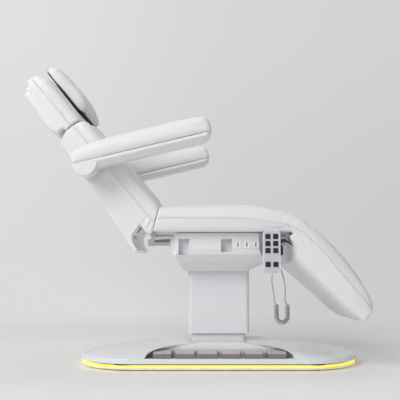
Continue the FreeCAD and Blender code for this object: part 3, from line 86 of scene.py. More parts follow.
def place(section, along, out):
    """Gives the X and Z of a point that lies along and out from a section's axis."""
    (x, z), a, n = section
    return x + a[0] * along + n[0] * out, z + a[1] * along + n[1] * out


def measure(section, points):
    """Gives how far points lie along and out from a section's axis."""
    away = points[:, [0, 2]] - np.array(section[0])
    return away @ np.array(section[1]), away @ np.array(section[2])


def facing(section, normals):
    """Gives how squarely normals face out from a section."""
    return normals[:, [0, 2]] @ np.array(section[2])


def ramp(values, low, high):
    """Rises from 0 at the low value to 1 at the high one."""
    return np.clip((values - low) / (high - low), 0.0, 1.0)


# ---------------------------------------------------------------- settings

def colour(name, description, default):
    return FloatVectorProperty(name=name, description=description, subtype="COLOR", size=3,
                               min=0.0, max=1.0, default=default)


def length(name, description, default):
    return FloatProperty(name=name, description=description, unit="LENGTH", precision=4,
                         min=0.0, default=default)


class ChairColours(bpy.types.PropertyGroup):
    """Colours of the chair's finishes"""
    leather: colour("Leather", "White upholstery hide", tint(229, 230, 231))
    moulding: colour("Moulding", "Glossy white shells and covers", tint(229, 231, 233))
    column: colour("Column", "Painted lifting column", tint(224, 226, 229))
    frame: colour("Frame", "Painted steel tube under the cushions", tint(224, 226, 229))
    steel: colour("Steel", "Bare rods and pins", tint(190, 191, 194))
    drive: colour("Drive", "Grey casings of the linear drives", tint(132, 134, 137))
    rubber: colour("Rubber", "Levelling feet and glides", tint(30, 30, 31))
    glow: colour("Glow", "Warm light line under the base", tint(255, 236, 92))
    pedal_top: colour("Pedal top", "Grey treads of the foot switches", tint(196, 195, 194))
    # Risers' colour: painted shade and a painted warm reflection of the floor and the light line.
    pedal_front: colour("Pedal front", "Dark risers of the foot switches", tint(130, 124, 119))
    switch: colour("Switch", "White rockers on the housing", tint(236, 238, 240))
    handset_rim: colour("Handset rim", "White back shell of the handset", tint(225, 227, 231))
    handset_face: colour("Handset face", "Cool grey face of the handset", tint(198, 200, 206))
    key: colour("Key", "Dark soft keys", tint(22, 24, 34))
    holder: colour("Holder", "Black clip for the handset", tint(20, 20, 22))
    cord: colour("Cord", "Grey curly cord", tint(150, 152, 156))
    strap: colour("Strap", "Dark woven mount behind the pillow", tint(44, 44, 46))
    floor: colour("Floor", "Studio floor", tint(246, 246, 246))


class ChairSizes(bpy.types.PropertyGroup):
    """Sizes of the upholstery work"""
    voxel_large: length("Large voxel", "Mesh pitch of the seat, leg and back cushions", 0.006)
    voxel_small: length("Small voxel", "Mesh pitch of the head, pillow and arm pads", 0.005)
    swell: length("Swell", "Furthest that stuffing may push the hide out", 0.009)
    pressure: FloatProperty(name="Pressure", description="Push of the stuffing in the cloth run",
                            min=0.0, default=4.0)
    frames: IntProperty(name="Frames", description="Frames of the cloth run", min=2, default=20)
    seam_depth: length("Seam depth", "How far a sewn seam pulls in", 0.0014)
    seam_width: length("Seam width", "Half width of the hollow along a seam", 0.0042)
    edge: length("Edge", "Soft rounding of hard moulded edges", 0.0008)
    cord_radius: length("Cord radius", "Half the thickness of the handset cord", 0.002)


def colours():
    return bpy.context.scene.chair_colours


def sizes():
    return bpy.context.scene.chair_sizes


# ---------------------------------------------------------------- shader helpers

COLOUR, VALUE = "NodeSocketColor", "NodeSocketFloat"
GREY = (0.8, 0.8, 0.8, 1.0)
FINISHES = {}


def feed(tree, sockets, values):
    """Links or sets sockets, by name or number."""
    for key, value in values.items():
        if isinstance(value, bpy.types.NodeSocket):
            tree.links.new(value, sockets[key])
        elif sockets[key].type == "RGBA":
            sockets[key].default_value = (*value[:3], 1.0)
        else:
            sockets[key].default_value = value


def put(tree, kind, values=None, **settings):
    """Adds a shader node, sets its options, and fills or links its inputs."""
    node = tree.nodes.new(kind)
    for key, value in settings.items():
        setattr(node, key, value)
    feed(tree, node.inputs, values or {})
    return node


def maths(tree, operation, first, second=0.0, third=0.0, clamp=False):
    return put(tree, "ShaderNodeMath", {0: first, 1: second, 2: third},
               operation=operation, use_clamp=clamp).outputs[0]


def vectors(tree, operation, *values):
    return put(tree, "ShaderNodeVectorMath", dict(enumerate(values)), operation=operation).outputs["Vector"]


def spread(tree, value, start, end, smooth=False):
    """Goes from 0 where a value is at its start to 1 at its end, either of which may be the larger."""
    return put(tree, "ShaderNodeMapRange", {"Value": value, "From Min": start, "From Max": end},
               interpolation_type="SMOOTHSTEP" if smooth else "LINEAR").outputs["Result"]


def shade(tree, tone, factor):
    """Scales a colour by a value that varies over the surface."""
    return put(tree, "ShaderNodeVectorMath", {0: tone, "Scale": factor}, operation="SCALE").outputs["Vector"]


def blend_colours(tree, factor, first, second):
    return put(tree, "ShaderNodeMix", {0: factor, 6: first, 7: second}, data_type="RGBA").outputs[2]


def own_spot(tree):
    """Gives a piece's own coordinates, which go with it in every pose."""
    return put(tree, "ShaderNodeTexCoord").outputs["Object"]


def noise(tree, spot, scale, detail, output="Fac"):
    return put(tree, "ShaderNodeTexNoise", {"Vector": spot, "Scale": scale, "Detail": detail}).outputs[output]


def waves(tree, spot, scale, direction):
    return put(tree, "ShaderNodeTexWave", {"Vector": spot, "Scale": scale},
               bands_direction=direction).outputs["Fac"]


def parts(tree, vector):
    return put(tree, "ShaderNodeSeparateXYZ", {0: vector}).outputs


def attribute(tree, name):
    return put(tree, "ShaderNodeAttribute", attribute_name=name).outputs["Fac"]


def new_group(name, outputs, **inputs):
    """Starts a shader group with named sockets, which hold colours or single values."""
    tree = bpy.data.node_groups.new(name, "ShaderNodeTree")
    for label, default in inputs.items():
        kind = COLOUR if isinstance(default, tuple) else VALUE
        tree.interface.new_socket(label, in_out="INPUT", socket_type=kind).default_value = default
    for label in outputs:
        kind = COLOUR if label == "Colour" else VALUE
        tree.interface.new_socket(label, in_out="OUTPUT", socket_type=kind)
    return tree, tree.nodes.new("NodeGroupInput").outputs, tree.nodes.new("NodeGroupOutput").inputs


def group_node(tree, name, **values):
    return put(tree, "ShaderNodeGroup", values, node_tree=bpy.data.node_groups[name]).outputs


def leather_grain():
    """Fine pebbled hide with pores and slow tone changes."""
    tree, entry, leave = new_group("leather grain", ("Colour", "Roughness", "Height"),
                                   Colour=GREY, Pebble=520.0)
    spot = own_spot(tree)
    warp = noise(tree, spot, 60.0, 2.0, "Color")
    bent = vectors(tree, "MULTIPLY_ADD", warp, (0.004, 0.004, 0.004), spot)
    cells = put(tree, "ShaderNodeTexVoronoi", {"Vector": bent, "Scale": entry["Pebble"]},
                feature="SMOOTH_F1").outputs["Distance"]
    slow = noise(tree, spot, 5.0, 3.0)
    pores = noise(tree, spot, 1600.0, 2.0)
    pebble = spread(tree, cells, 0.75, 0.1, smooth=True)
    tone = maths(tree, "MULTIPLY_ADD", slow, 0.05, 0.96)
    tone = maths(tree, "MULTIPLY_ADD", pebble, 0.018, tone)
    rough = maths(tree, "MULTIPLY_ADD", slow, 0.16, 0.33)
    rough = maths(tree, "MULTIPLY_ADD", pores, 0.06, rough)
    feed(tree, leave, {"Colour": shade(tree, entry["Colour"], tone), "Roughness": rough,
                       "Height": maths(tree, "MULTIPLY_ADD", pores, 0.25, pebble)})


def sewn_seam():
    """Reads a seam's distance and run from the mesh, and draws its fold, darkened with painted shade, and its
    stitches.
    """
    tree, entry, leave = new_group("sewn seam", ("Colour", "Height"),
                                   Colour=GREY, Line=0.00266, Stitch=0.006, Row=0.0048)
    # The mesh holds the distance plus one, so that a hide without seams reads as far from any
    apart = maths(tree, "ABSOLUTE", maths(tree, "SUBTRACT", attribute(tree, "seam_gap"), 1.0))
    fold = spread(tree, apart, entry["Line"], 0.0, smooth=True)
    beside = maths(tree, "ABSOLUTE", maths(tree, "SUBTRACT", apart, entry["Row"]))
    row = spread(tree, beside, 0.0011, 0.0005, smooth=True)
    step = maths(tree, "FRACT", maths(tree, "DIVIDE", attribute(tree, "seam_run"), entry["Stitch"]))
    middle = maths(tree, "ABSOLUTE", maths(tree, "SUBTRACT", step, 0.5))
    thread = maths(tree, "MULTIPLY", row, spread(tree, middle, 0.36, 0.28))
    # Painted shade darkens the fold along the seam; the stitch row darkens a little too.
    dark = maths(tree, "MULTIPLY_ADD", fold, -0.24, 1.0)
    dark = maths(tree, "MULTIPLY_ADD", thread, -0.10, dark)
    feed(tree, leave, {"Colour": shade(tree, entry["Colour"], dark),
                       "Height": maths(tree, "SUBTRACT", maths(tree, "MULTIPLY", thread, 0.5), fold)})


def moulded_skin():
    """Faint orange peel and flow marks of moulded or sprayed surfaces."""
    tree, entry, leave = new_group("moulded skin", ("Colour", "Roughness", "Height"),
                                   Colour=GREY, Peel=240.0, Rough=0.3)
    spot = own_spot(tree)
    flow = noise(tree, spot, 4.0, 2.0)
    tone = maths(tree, "MULTIPLY_ADD", flow, 0.04, 0.98)
    rough = maths(tree, "MULTIPLY_ADD", flow, 0.14, maths(tree, "SUBTRACT", entry["Rough"], 0.07))
    feed(tree, leave, {"Colour": shade(tree, entry["Colour"], tone), "Roughness": rough,
                       "Height": noise(tree, spot, entry["Peel"], 2.0)})


def settled_dust():
    """Pale dust on upward faces and rubbed tone on proud edges."""
    tree, entry, leave = new_group("settled dust", ("Colour",),
                                   Colour=GREY, Dust=(0.55, 0.53, 0.5, 1.0), Amount=0.2, Rub=0.1)
    shape = put(tree, "ShaderNodeNewGeometry").outputs
    up = parts(tree, shape["Normal"])["Z"]
    patch = noise(tree, own_spot(tree), 18.0, 6.0)
    lying = maths(tree, "MULTIPLY", spread(tree, up, 0.2, 0.95), spread(tree, patch, 0.42, 0.68))
    edge = spread(tree, shape["Pointiness"], 0.52, 0.60)
    rub = maths(tree, "MULTIPLY", maths(tree, "MULTIPLY", edge, patch), entry["Rub"])
    cover = maths(tree, "MULTIPLY", lying, entry["Amount"])
    dusty = blend_colours(tree, cover, entry["Colour"], entry["Dust"])
    feed(tree, leave, {"Colour": shade(tree, dusty, maths(tree, "ADD", rub, 1.0))})


def drawn_lines():
    """Fine lengthwise lines of drawn and ground steel."""
    tree, entry, leave = new_group("drawn lines", ("Colour", "Roughness", "Height"), Colour=GREY, Rough=0.28)
    long = put(tree, "ShaderNodeMapping", {"Vector": own_spot(tree), "Scale": (30.0, 900.0, 900.0)})
    lines = noise(tree, long.outputs["Vector"], 1.0, 3.0)
    tone = maths(tree, "MULTIPLY_ADD", lines, 0.22, 0.88)
    rough = maths(tree, "MULTIPLY_ADD", lines, 0.2, maths(tree, "SUBTRACT", entry["Rough"], 0.1))
    feed(tree, leave, {"Colour": shade(tree, entry["Colour"], tone), "Roughness": rough, "Height": lines})


def start_finish(name):
    """Makes an empty material and gives its node tree and its shader."""
    finish = bpy.data.materials.new(name)
    finish.use_nodes = True
    tree = finish.node_tree
    return finish, tree, tree.nodes["Principled BSDF"]


def relief(tree, node, height, strength, distance):
    """Bumps the normal that a node takes, and gives the bump so that another can go under it."""
    bump = put(tree, "ShaderNodeBump", {"Strength": strength, "Distance": distance, "Height": height})
    feed(tree, node.inputs, {"Normal": bump.outputs["Normal"]})
    return bump


def hide_finish(name, backed_and_shaded=False):
    """Soft white hide with grain and sewn seams, and, for the pillow, a dark rear cloth whose tone also
    paints the shade in the gap behind it.
    """
    finish, tree, shader = start_finish(name)
    grain = group_node(tree, "leather grain", Colour=colours().leather)
    seam = group_node(tree, "sewn seam", Colour=grain["Colour"])
    tone = group_node(tree, "settled dust", Colour=seam["Colour"], Dust=tint(214, 211, 205),
                      Amount=0.12, Rub=0.0)["Colour"]
    if backed_and_shaded:
        # Dark strap tone on the rear face: a dark rear cloth, and painted shade for the gap behind the
        # pillow.
        tone = blend_colours(tree, attribute(tree, "backing"), tone, colours().strap)
    feed(tree, shader.inputs, {"Base Color": tone, "Roughness": grain["Roughness"],
                               "Specular IOR Level": 0.42, "Sheen Weight": 0.05, "Sheen Roughness": 0.5})
    seams = relief(tree, shader, seam["Height"], 0.6, 0.0012)
    relief(tree, seams, grain["Height"], 0.22, 0.0006)
    return finish


def moulded_finish(name, tone, rough, coat=0.0, dust=0.1, rub=0.03, peel=240.0, depth=0.10):
    """Moulded plastic or sprayed metal with peel, flow tone, dust and rubbed edges."""
    finish, tree, shader = start_finish(name)
    skin = group_node(tree, "moulded skin", Colour=tone, Peel=peel, Rough=rough)
    dusty = group_node(tree, "settled dust", Colour=skin["Colour"], Amount=dust, Rub=rub)
    feed(tree, shader.inputs, {"Base Color": dusty["Colour"], "Roughness": skin["Roughness"],
                               "Coat Weight": coat, "Coat Roughness": 0.12})
    relief(tree, shader, skin["Height"], depth, 0.0004)
    return finish


def steel_finish():
    """Bare drawn steel."""
    finish, tree, shader = start_finish("drawn steel")
    lines = group_node(tree, "drawn lines", Colour=colours().steel)
    feed(tree, shader.inputs, {"Base Color": lines["Colour"], "Roughness": lines["Roughness"],
                               "Metallic": 1.0})
    relief(tree, shader, lines["Height"], 0.06, 0.0002)
    return finish


def glow_finish():
    """Warm light line along the top of the strip, uneven where each lamp sits, over a paler foot that glows
    as painted light, standing in for the floor lit just under the line.
    """
    finish, tree, shader = start_finish("warm light line")
    spot = own_spot(tree)
    # Pale glowing foot of the strip: painted light for the floor lit just under the line.
    foot = spread(tree, parts(tree, spot)["Z"], 0.0165, 0.0135, smooth=True)
    tone = blend_colours(tree, foot, colours().glow, tint(196, 190, 158))
    warm = shade(tree, tone, maths(tree, "MULTIPLY_ADD", noise(tree, spot, 34.0, 1.0), 0.3, 0.85))
    feed(tree, shader.inputs, {"Base Color": warm, "Emission Color": warm, "Emission Strength": 0.62,
                               "Roughness": 0.35})
    return finish


def pedal_finish():
    """Grey ribbed tread, with darker, warmer risers told apart by which way the surface faces: painted shade
    and a painted warm reflection.
    """
    finish, tree, shader = start_finish("pedal rubber")
    way = parts(tree, put(tree, "ShaderNodeNewGeometry").outputs["True Normal"])
    # Painted shade and warm reflection on faces that turn away from the top.
    riser_shade = spread(tree, way["Z"], 0.6, 0.35, smooth=True)
    tone = blend_colours(tree, riser_shade, colours().pedal_top, colours().pedal_front)
    skin = group_node(tree, "moulded skin", Colour=tone, Peel=420.0, Rough=0.55)
    dusty = group_node(tree, "settled dust", Colour=skin["Colour"], Amount=0.25, Rub=0.12)
    feed(tree, shader.inputs, {"Base Color": dusty["Colour"], "Roughness": skin["Roughness"]})
    ribs = waves(tree, own_spot(tree), 60.0, "Y")
    relief(tree, shader, maths(tree, "ADD", ribs, skin["Height"]), 0.35, 0.0008)
    return finish


def rocker_finish(node):
    """Glossy white rocker with an upright slot sunk in its middle by a bump and darkened with painted shade.
    """
    finish, tree, shader = start_finish(node.replace("_", " ") + " gloss")
    low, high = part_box(node)
    middle = [(a + b) / 2 for a, b in zip(low, high)]
    away = vectors(tree, "ABSOLUTE", vectors(tree, "SUBTRACT", own_spot(tree), middle))
    gap = parts(tree, away)
    # Painted shade in the slot: dark where a point lies within the slot's outline.
    slot_shade = maths(tree, "MULTIPLY", spread(tree, gap["X"], 0.0027, 0.0021),
                 spread(tree, gap["Z"], 0.0086, 0.0078))
    skin = group_node(tree, "moulded skin", Peel=500.0, Rough=0.22,
                      Colour=blend_colours(tree, slot_shade, colours().switch, tint(92, 93, 98)))
    feed(tree, shader.inputs, {"Base Color": skin["Colour"], "Roughness": skin["Roughness"],
                               "Coat Weight": 0.25})
    relief(tree, shader, maths(tree, "MULTIPLY", slot_shade, -1.0), 0.6, 0.0006)
    return finish


def woven_finish():
    """Dark woven strap with crossing threads."""
    finish, tree, shader = start_finish("dark webbing")
    spot = own_spot(tree)
    cross = maths(tree, "MULTIPLY", waves(tree, spot, 160.0, "Y"), waves(tree, spot, 160.0, "Z"))
    tone = shade(tree, colours().strap, maths(tree, "MULTIPLY_ADD", cross, 0.7, 0.7))
    dusty = group_node(tree, "settled dust", Colour=tone, Amount=0.15, Rub=0.0)
    feed(tree, shader.inputs, {"Base Color": dusty["Colour"], "Roughness": 0.85})
    relief(tree, shader, cross, 0.5, 0.0006)
    return finish


def make_finishes():
    """Builds the shared groups and every finish once."""
    if FINISHES:
        return
    for build in (leather_grain, sewn_seam, moulded_skin, settled_dust, drawn_lines):
        build()
    tone = colours()
    FINISHES.update(
        hide=hide_finish("white hide"), pillow_hide=hide_finish("backed white hide", True),
        moulding=moulded_finish("white moulding", tone.moulding, 0.27, coat=0.15, rub=0.0),
        recess=moulded_finish("pale recess", tint(236, 238, 240), 0.45, rub=0.0),
        column=moulded_finish("column paint", tone.column, 0.34, peel=420.0),
        frame=moulded_finish("frame paint", tone.frame, 0.42, peel=600.0, rub=0.25),
        drive=moulded_finish("drive casing", tone.drive, 0.5, peel=700.0, depth=0.25, rub=0.2),
        rubber=moulded_finish("foot rubber", tone.rubber, 0.7, peel=500.0, depth=0.3, dust=0.3),
        handset_rim=moulded_finish("handset shell", tone.handset_rim, 0.26, coat=0.1, peel=500.0),
        handset_face=moulded_finish("handset face", tone.handset_face, 0.4, peel=700.0, depth=0.2),
        key=moulded_finish("soft key", tone.key, 0.38, peel=900.0, depth=0.2, rub=0.3, dust=0.05),
        holder=moulded_finish("black clip", tone.holder, 0.45, peel=600.0, depth=0.2, rub=0.3),
        cord=moulded_finish("cord sheath", tone.cord, 0.42, peel=900.0, depth=0.2),
        steel=steel_finish(), glow=glow_finish(), pedal=pedal_finish(), strap=woven_finish())


# ---------------------------------------------------------------- mesh helpers

def dress(node, finish, edge=None):
    """Gives a carried-over solid its finish, and rounds its edges unless their width is 0."""
    make_finishes()
    obj = frame["nodes"][node]
    if not obj.material_slots:
        obj.data.materials.append(FINISHES[finish])
    for held in obj.material_slots:
        held.material = FINISHES[finish]
    weld = obj.modifiers.new("weld", "WELD")
    weld.merge_threshold = WELD_GAP
    if edge == 0.0:
        split = obj.modifiers.new("sharp edges", "EDGE_SPLIT")
        split.use_edge_sharp = False
        split.split_angle = SHARP_TURN
    else:
        bevel = obj.modifiers.new("edge", "BEVEL")
        bevel.width = edge or sizes().edge
        bevel.segments = 2
        bevel.limit_method = "ANGLE"
        bevel.angle_limit = BEVEL_TURN
    smooth = obj.modifiers.new("normals", "WEIGHTED_NORMAL")
    smooth.keep_sharp = True


def new_object(name, data):
    obj = bpy.data.objects.new(name, data)
    bpy.context.scene.collection.objects.link(obj)
    return obj


def add_object(name, mesh, finish):
    obj = new_object(name, mesh)
    mesh.materials.clear()
    mesh.materials.append(FINISHES[finish])
    return obj


def settle(obj):
    """Writes an object's modifiers into its mesh."""
    held = list(obj.data.materials)
    shape = obj.evaluated_get(bpy.context.evaluated_depsgraph_get())
    mesh = bpy.data.meshes.new_from_object(shape)
    old = obj.data
    obj.modifiers.clear()
    obj.data = mesh
    mesh.materials.clear()
    for finish in held:
        mesh.materials.append(finish)
    mesh.name = obj.name
    bpy.data.meshes.remove(old)
    mesh.shade_smooth()


def vectors_of(items, name):
    flat = np.empty(len(items) * 3, dtype=np.float32)
    items.foreach_get(name, flat)
    return flat.reshape(-1, 3).astype(float)


def points_of(mesh):
    return vectors_of(mesh.vertices, "co")


def normals_of(mesh):
    return vectors_of(mesh.vertex_normals, "vector")


def set_points(mesh, points):
    mesh.vertices.foreach_set("co", points.astype(np.float32).ravel())
    mesh.update()


def soft_copy(name, nodes, voxel, webs=()):
    """Copies soft solids, and webs run across between two widths, into one evenly meshed skin."""
    make_finishes()
    shell = bmesh.new()
    for node in nodes:
        shell.from_mesh(frame["nodes"][node].data)
    bmesh.ops.remove_doubles(shell, verts=shell.verts, dist=WELD_GAP)
    for outline, low, high in webs:
        rings = [[shell.verts.new((x, y, z)) for x, z in outline] for y in (low, high)]
        faces = [shell.faces.new(rings[0]), shell.faces.new(rings[1][::-1])]
        for k in range(len(outline)):
            n = (k + 1) % len(outline)
            faces.append(shell.faces.new((rings[0][n], rings[0][k], rings[1][k], rings[1][n])))
        bmesh.ops.recalc_face_normals(shell, faces=faces)
    mesh = bpy.data.meshes.new(name)
    shell.to_mesh(mesh)
    shell.free()
    obj = add_object(name, mesh, "hide")
    remesh = obj.modifiers.new("even", "REMESH")
    remesh.mode = "VOXEL"
    remesh.voxel_size = voxel
    even = obj.modifiers.new("calm", "SMOOTH")
    even.factor, even.iterations = 0.5, 3
    settle(obj)
    return obj


def weigh(obj, name, weights):
    """Makes a vertex group of the points that carry weight."""
    group = obj.vertex_groups.new(name=name)
    for index in np.nonzero(weights > LEAST_WEIGHT)[0]:
        group.add([int(index)], float(weights[index]), "REPLACE")
    return group


def calm(obj, spot, reach, rounds):
    """Smooths a skin round one line across it, given by its X and Z."""
    points = points_of(obj.data)
    near = np.exp(-(np.hypot(points[:, 0] - spot[0], points[:, 2] - spot[1]) / reach) ** 2)
    weigh(obj, "calm", near)
    even = obj.modifiers.new("calm", "SMOOTH")
    even.factor, even.iterations, even.vertex_group = 0.5, rounds, "calm"
    settle(obj)
    obj.vertex_groups.clear()


def stuff(obj, held, limit):
    """Swells a skin by cloth pressure, with held points kept still and its rise and sink capped."""
    mesh = obj.data
    start, out = points_of(mesh), normals_of(mesh)
    grip = held(start, out)
    group = weigh(obj, "held", grip)
    cloth = obj.modifiers.new("stuffing", "CLOTH")
    run = cloth.settings
    run.quality = 4
    run.mass = 0.3
    run.tension_stiffness = run.compression_stiffness = 18.0
    run.shear_stiffness = 8.0
    run.bending_stiffness = 1.2
    run.use_pressure = True
    run.uniform_pressure_force = sizes().pressure
    run.vertex_group_mass = "held"
    run.effector_weights.gravity = 0.0
    cloth.collision_settings.use_collision = False
    cloth.point_cache.frame_start = 1
    cloth.point_cache.frame_end = sizes().frames
    scene = bpy.context.scene
    for number in range(1, sizes().frames + 1):
        scene.frame_set(number)
    shape = obj.evaluated_get(bpy.context.evaluated_depsgraph_get())
    swollen = points_of(shape.data)
    obj.modifiers.remove(cloth)
    obj.vertex_groups.remove(group)
    scene.frame_set(1)
    rise = np.clip(np.einsum("ij,ij->i", swollen - start, out), -MOST_SINK, limit) * (1 - grip)
    set_points(mesh, start + out * rise[:, None])


def finer(obj):
    """Adds one level of subdivision to a skin and keeps it."""
    level = obj.modifiers.new("fine", "SUBSURF")
    level.levels = level.render_levels = 1
    settle(obj)


def eased(points, steps=10):
    """Runs a smooth line through a few points of the side view."""
    ends = [points[0]] + list(points) + [points[-1]]
    line = []
    for a, b, c, d in zip(ends, ends[1:], ends[2:], ends[3:]):
        for k in range(steps):
            t = k / steps
            line.append(tuple(
                0.5 * (2 * q + (r - p) * t + (2 * p - 5 * q + 4 * r - s) * t * t
                       + (3 * q - p - 3 * r + s) * t ** 3) for p, q, r, s in zip(a, b, c, d)))
    return line + [tuple(points[-1])]


def measure_from(line, points):
    """Gives each point's signed distance from a side-view line, plus above it, and its run along it."""
    x, z = points[:, 0], points[:, 2]
    gap, run = np.full(len(points), 1e9), np.zeros(len(points))
    walked = 0.0
    for (x0, z0), (x1, z1) in zip(line, line[1:]):
        dx, dz = x1 - x0, z1 - z0
        size = math.hypot(dx, dz)
        t = np.clip(((x - x0) * dx + (z - z0) * dz) / size ** 2, 0.0, 1.0)
        ex, ez = x - x0 - t * dx, z - z0 - t * dz
        away = np.hypot(ex, ez)
        near = away < np.abs(gap)
        gap = np.where(near, np.where(dx * ez - dz * ex >= 0, away, -away), gap)
        run = np.where(near, walked + t * size, run)
        walked += size
    return gap, run


def note(mesh, name, values):
    """Stores one value per point for the finishes to read."""
    layer = mesh.attributes.new(name, "FLOAT", "POINT")
    layer.data.foreach_set("value", values.astype(np.float32))


def sew(obj, line):
    """Pulls a seam into a skin where its surface crosses a side-view line, and notes it for the hide."""
    mesh = obj.data
    points, out = points_of(mesh), normals_of(mesh)
    gap, run = measure_from(line, points)
    steep = ramp(np.abs(out[:, 1]), 0.45, 0.75)
    pull = sizes().seam_depth * np.exp(-(gap / sizes().seam_width) ** 2) * steep
    set_points(mesh, points - out * pull[:, None])
    note(mesh, "seam_gap", gap + 1.0 + (1 - steep) * 0.5 * np.sign(gap))
    note(mesh, "seam_run", run)


def crease(obj, folds, width=0.006):
    """Presses short wrinkles with raised lips into a skin's sides: X, Z of each end, and depth."""
    mesh = obj.data
    points, out = points_of(mesh), normals_of(mesh)
    side = ramp(np.abs(out[:, 1]), 0.35, 0.75)
    pull = np.zeros(len(points))
    for x0, z0, x1, z1, depth in folds:
        dx, dz = x1 - x0, z1 - z0
        size = math.hypot(dx, dz)
        t = ((points[:, 0] - x0) * dx + (points[:, 2] - z0) * dz) / size ** 2
        away = np.abs((points[:, 0] - x0) * dz - (points[:, 2] - z0) * dx) / size
        fade = np.clip(1.0 - (2 * t - 1) ** 2, 0.0, 1.0)
        hollow, lip = np.exp(-(away / width) ** 2), np.exp(-((away - 2 * width) / width) ** 2)
        pull += depth * fade * (hollow - 0.45 * lip)
    set_points(mesh, points - out * (pull * side)[:, None])


def band(section, span, reach, widths):
    """Gives the two side webs that carry a hide down over the edge of its shell."""
    outline = [place(section, a, n) for a, n in ((span[0], reach[0]), (span[1], reach[0]),
                                                 (span[1], reach[1]), (span[0], reach[1]))]
    low, high = widths
    return [(outline, low, high), (outline, -high, -low)]


def feather(obj, section, span, edge, half, slope=0.22):
    """Draws a hide's sides in to a half width at its edge, which slopes out again above it."""
    points = points_of(obj.data)
    along, out = measure(section, points)
    inside = ramp(np.minimum(along - span[0], span[1] - along), 0.0, 0.03)
    limit = half + slope * np.maximum(out - edge, 0.0)
    width = np.abs(points[:, 1])
    drawn = np.where(width > half - 0.02, np.minimum(width, limit), width)
    points[:, 1] = np.sign(points[:, 1]) * (width + (drawn - width) * inside)
    set_points(obj.data, points)


def upholster(obj, body, nodes):
    """Hides a cushion's solids, which the finished hide stands in for, and hangs the hide on its body if one
    is given.
    """
    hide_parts(*nodes)
    if body:
        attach(obj, body)


def tube(name, line, radius, sides=10):
    """Builds a closed round tube along a list of points."""
    mesh = bpy.data.meshes.new(name)
    verts, faces = [], []
    up = Vector((0.0, 1.0, 0.0))
    for index, point in enumerate(line):
        ahead = line[min(index + 1, len(line) - 1)] - line[max(index - 1, 0)]
        ahead.normalize()
        up = (up - ahead * up.dot(ahead)).normalized()
        across = ahead.cross(up)
        for k in range(sides):
            turn = 2 * math.pi * k / sides
            verts.append(point + (up * math.cos(turn) + across * math.sin(turn)) * radius)
    for ring in range(len(line) - 1):
        for k in range(sides):
            a, b = ring * sides + k, ring * sides + (k + 1) % sides
            faces.append((a, b, b + sides, a + sides))
    faces.append(tuple(range(sides - 1, -1, -1)))
    faces.append(tuple((len(line) - 1) * sides + k for k in range(sides)))
    mesh.from_pydata(verts, [], faces)
    mesh.shade_smooth()
    mesh.update()
    return mesh


def nurbs_line(points, steps):
    """Reads back the points of one open smooth spline through a route's control points."""
    curve = bpy.data.curves.new("route", "CURVE")
    curve.dimensions = "3D"
    curve.resolution_u = steps
    spline = curve.splines.new("NURBS")
    spline.points.add(len(points) - 1)
    for knot, spot in zip(spline.points, points):
        knot.co = (*spot, 1.0)
    spline.order_u = 3
    spline.use_endpoint_u = True
    carrier = new_object("route", curve)
    shape = carrier.evaluated_get(bpy.context.evaluated_depsgraph_get())
    mesh = bpy.data.meshes.new_from_object(shape)
    line = [v.co.copy() for v in mesh.vertices]
    bpy.data.objects.remove(carrier)
    bpy.data.curves.remove(curve)
    bpy.data.meshes.remove(mesh)
    return line


# ---------------------------------------------------------------- pieces

class CHAIR_OT_base(bpy.types.Operator):
    """Dresses the floor base: cover, tray, steel frame, feet and light line"""
    bl_idname = "chair.base"
    bl_label = "Floor base"

    def execute(self, context):
        dress("base_cover", "moulding", 0.0)
        dress("pedal_tray", "recess", 0.0)
        dress("base_frame", "frame")
        dress("levelling_feet", "rubber")
        dress("light_strip", "glow", 0.0)
        return {"FINISHED"}


class CHAIR_OT_column(bpy.types.Operator):
    """Dresses the lifting column, its glides and its drive"""
    bl_idname = "chair.column"
    bl_label = "Lifting column"

    def execute(self, context):
        dress("column_shroud", "column")
        dress("column_mast", "column")
        dress("shroud_glides", "rubber")
        dress("lift_actuator", "drive")
        dress("lift_rod", "steel", 0.0)
        return {"FINISHED"}


class CHAIR_OT_frames(bpy.types.Operator):
    """Dresses the tube frames, hinge pins, linear drives and the control box"""
    bl_idname = "chair.frames"
    bl_label = "Frames and drives"

    def execute(self, context):
        for node in ("seat_frame", "back_frame", "leg_frame", "head_frame"):
            dress(node, "frame")
        for node in ("hinge_pins", "back_pins", "back_rod", "leg_rod"):
            dress(node, "steel", 0.0)
        for node in ("back_actuator", "leg_actuator", "control_box"):
            dress(node, "drive")
        return {"FINISHED"}


class CHAIR_OT_shells(bpy.types.Operator):
    """Dresses the white housing and the shells behind the cushions"""
    bl_idname = "chair.shells"
    bl_label = "Housing and shells"

    def execute(self, context):
        dress("seat_housing", "moulding")
        for node in ("back_shell", "head_shell", "leg_shell", "arm_shell_near", "arm_shell_far"):
            dress(node, "moulding", 0.0)
        return {"FINISHED"}


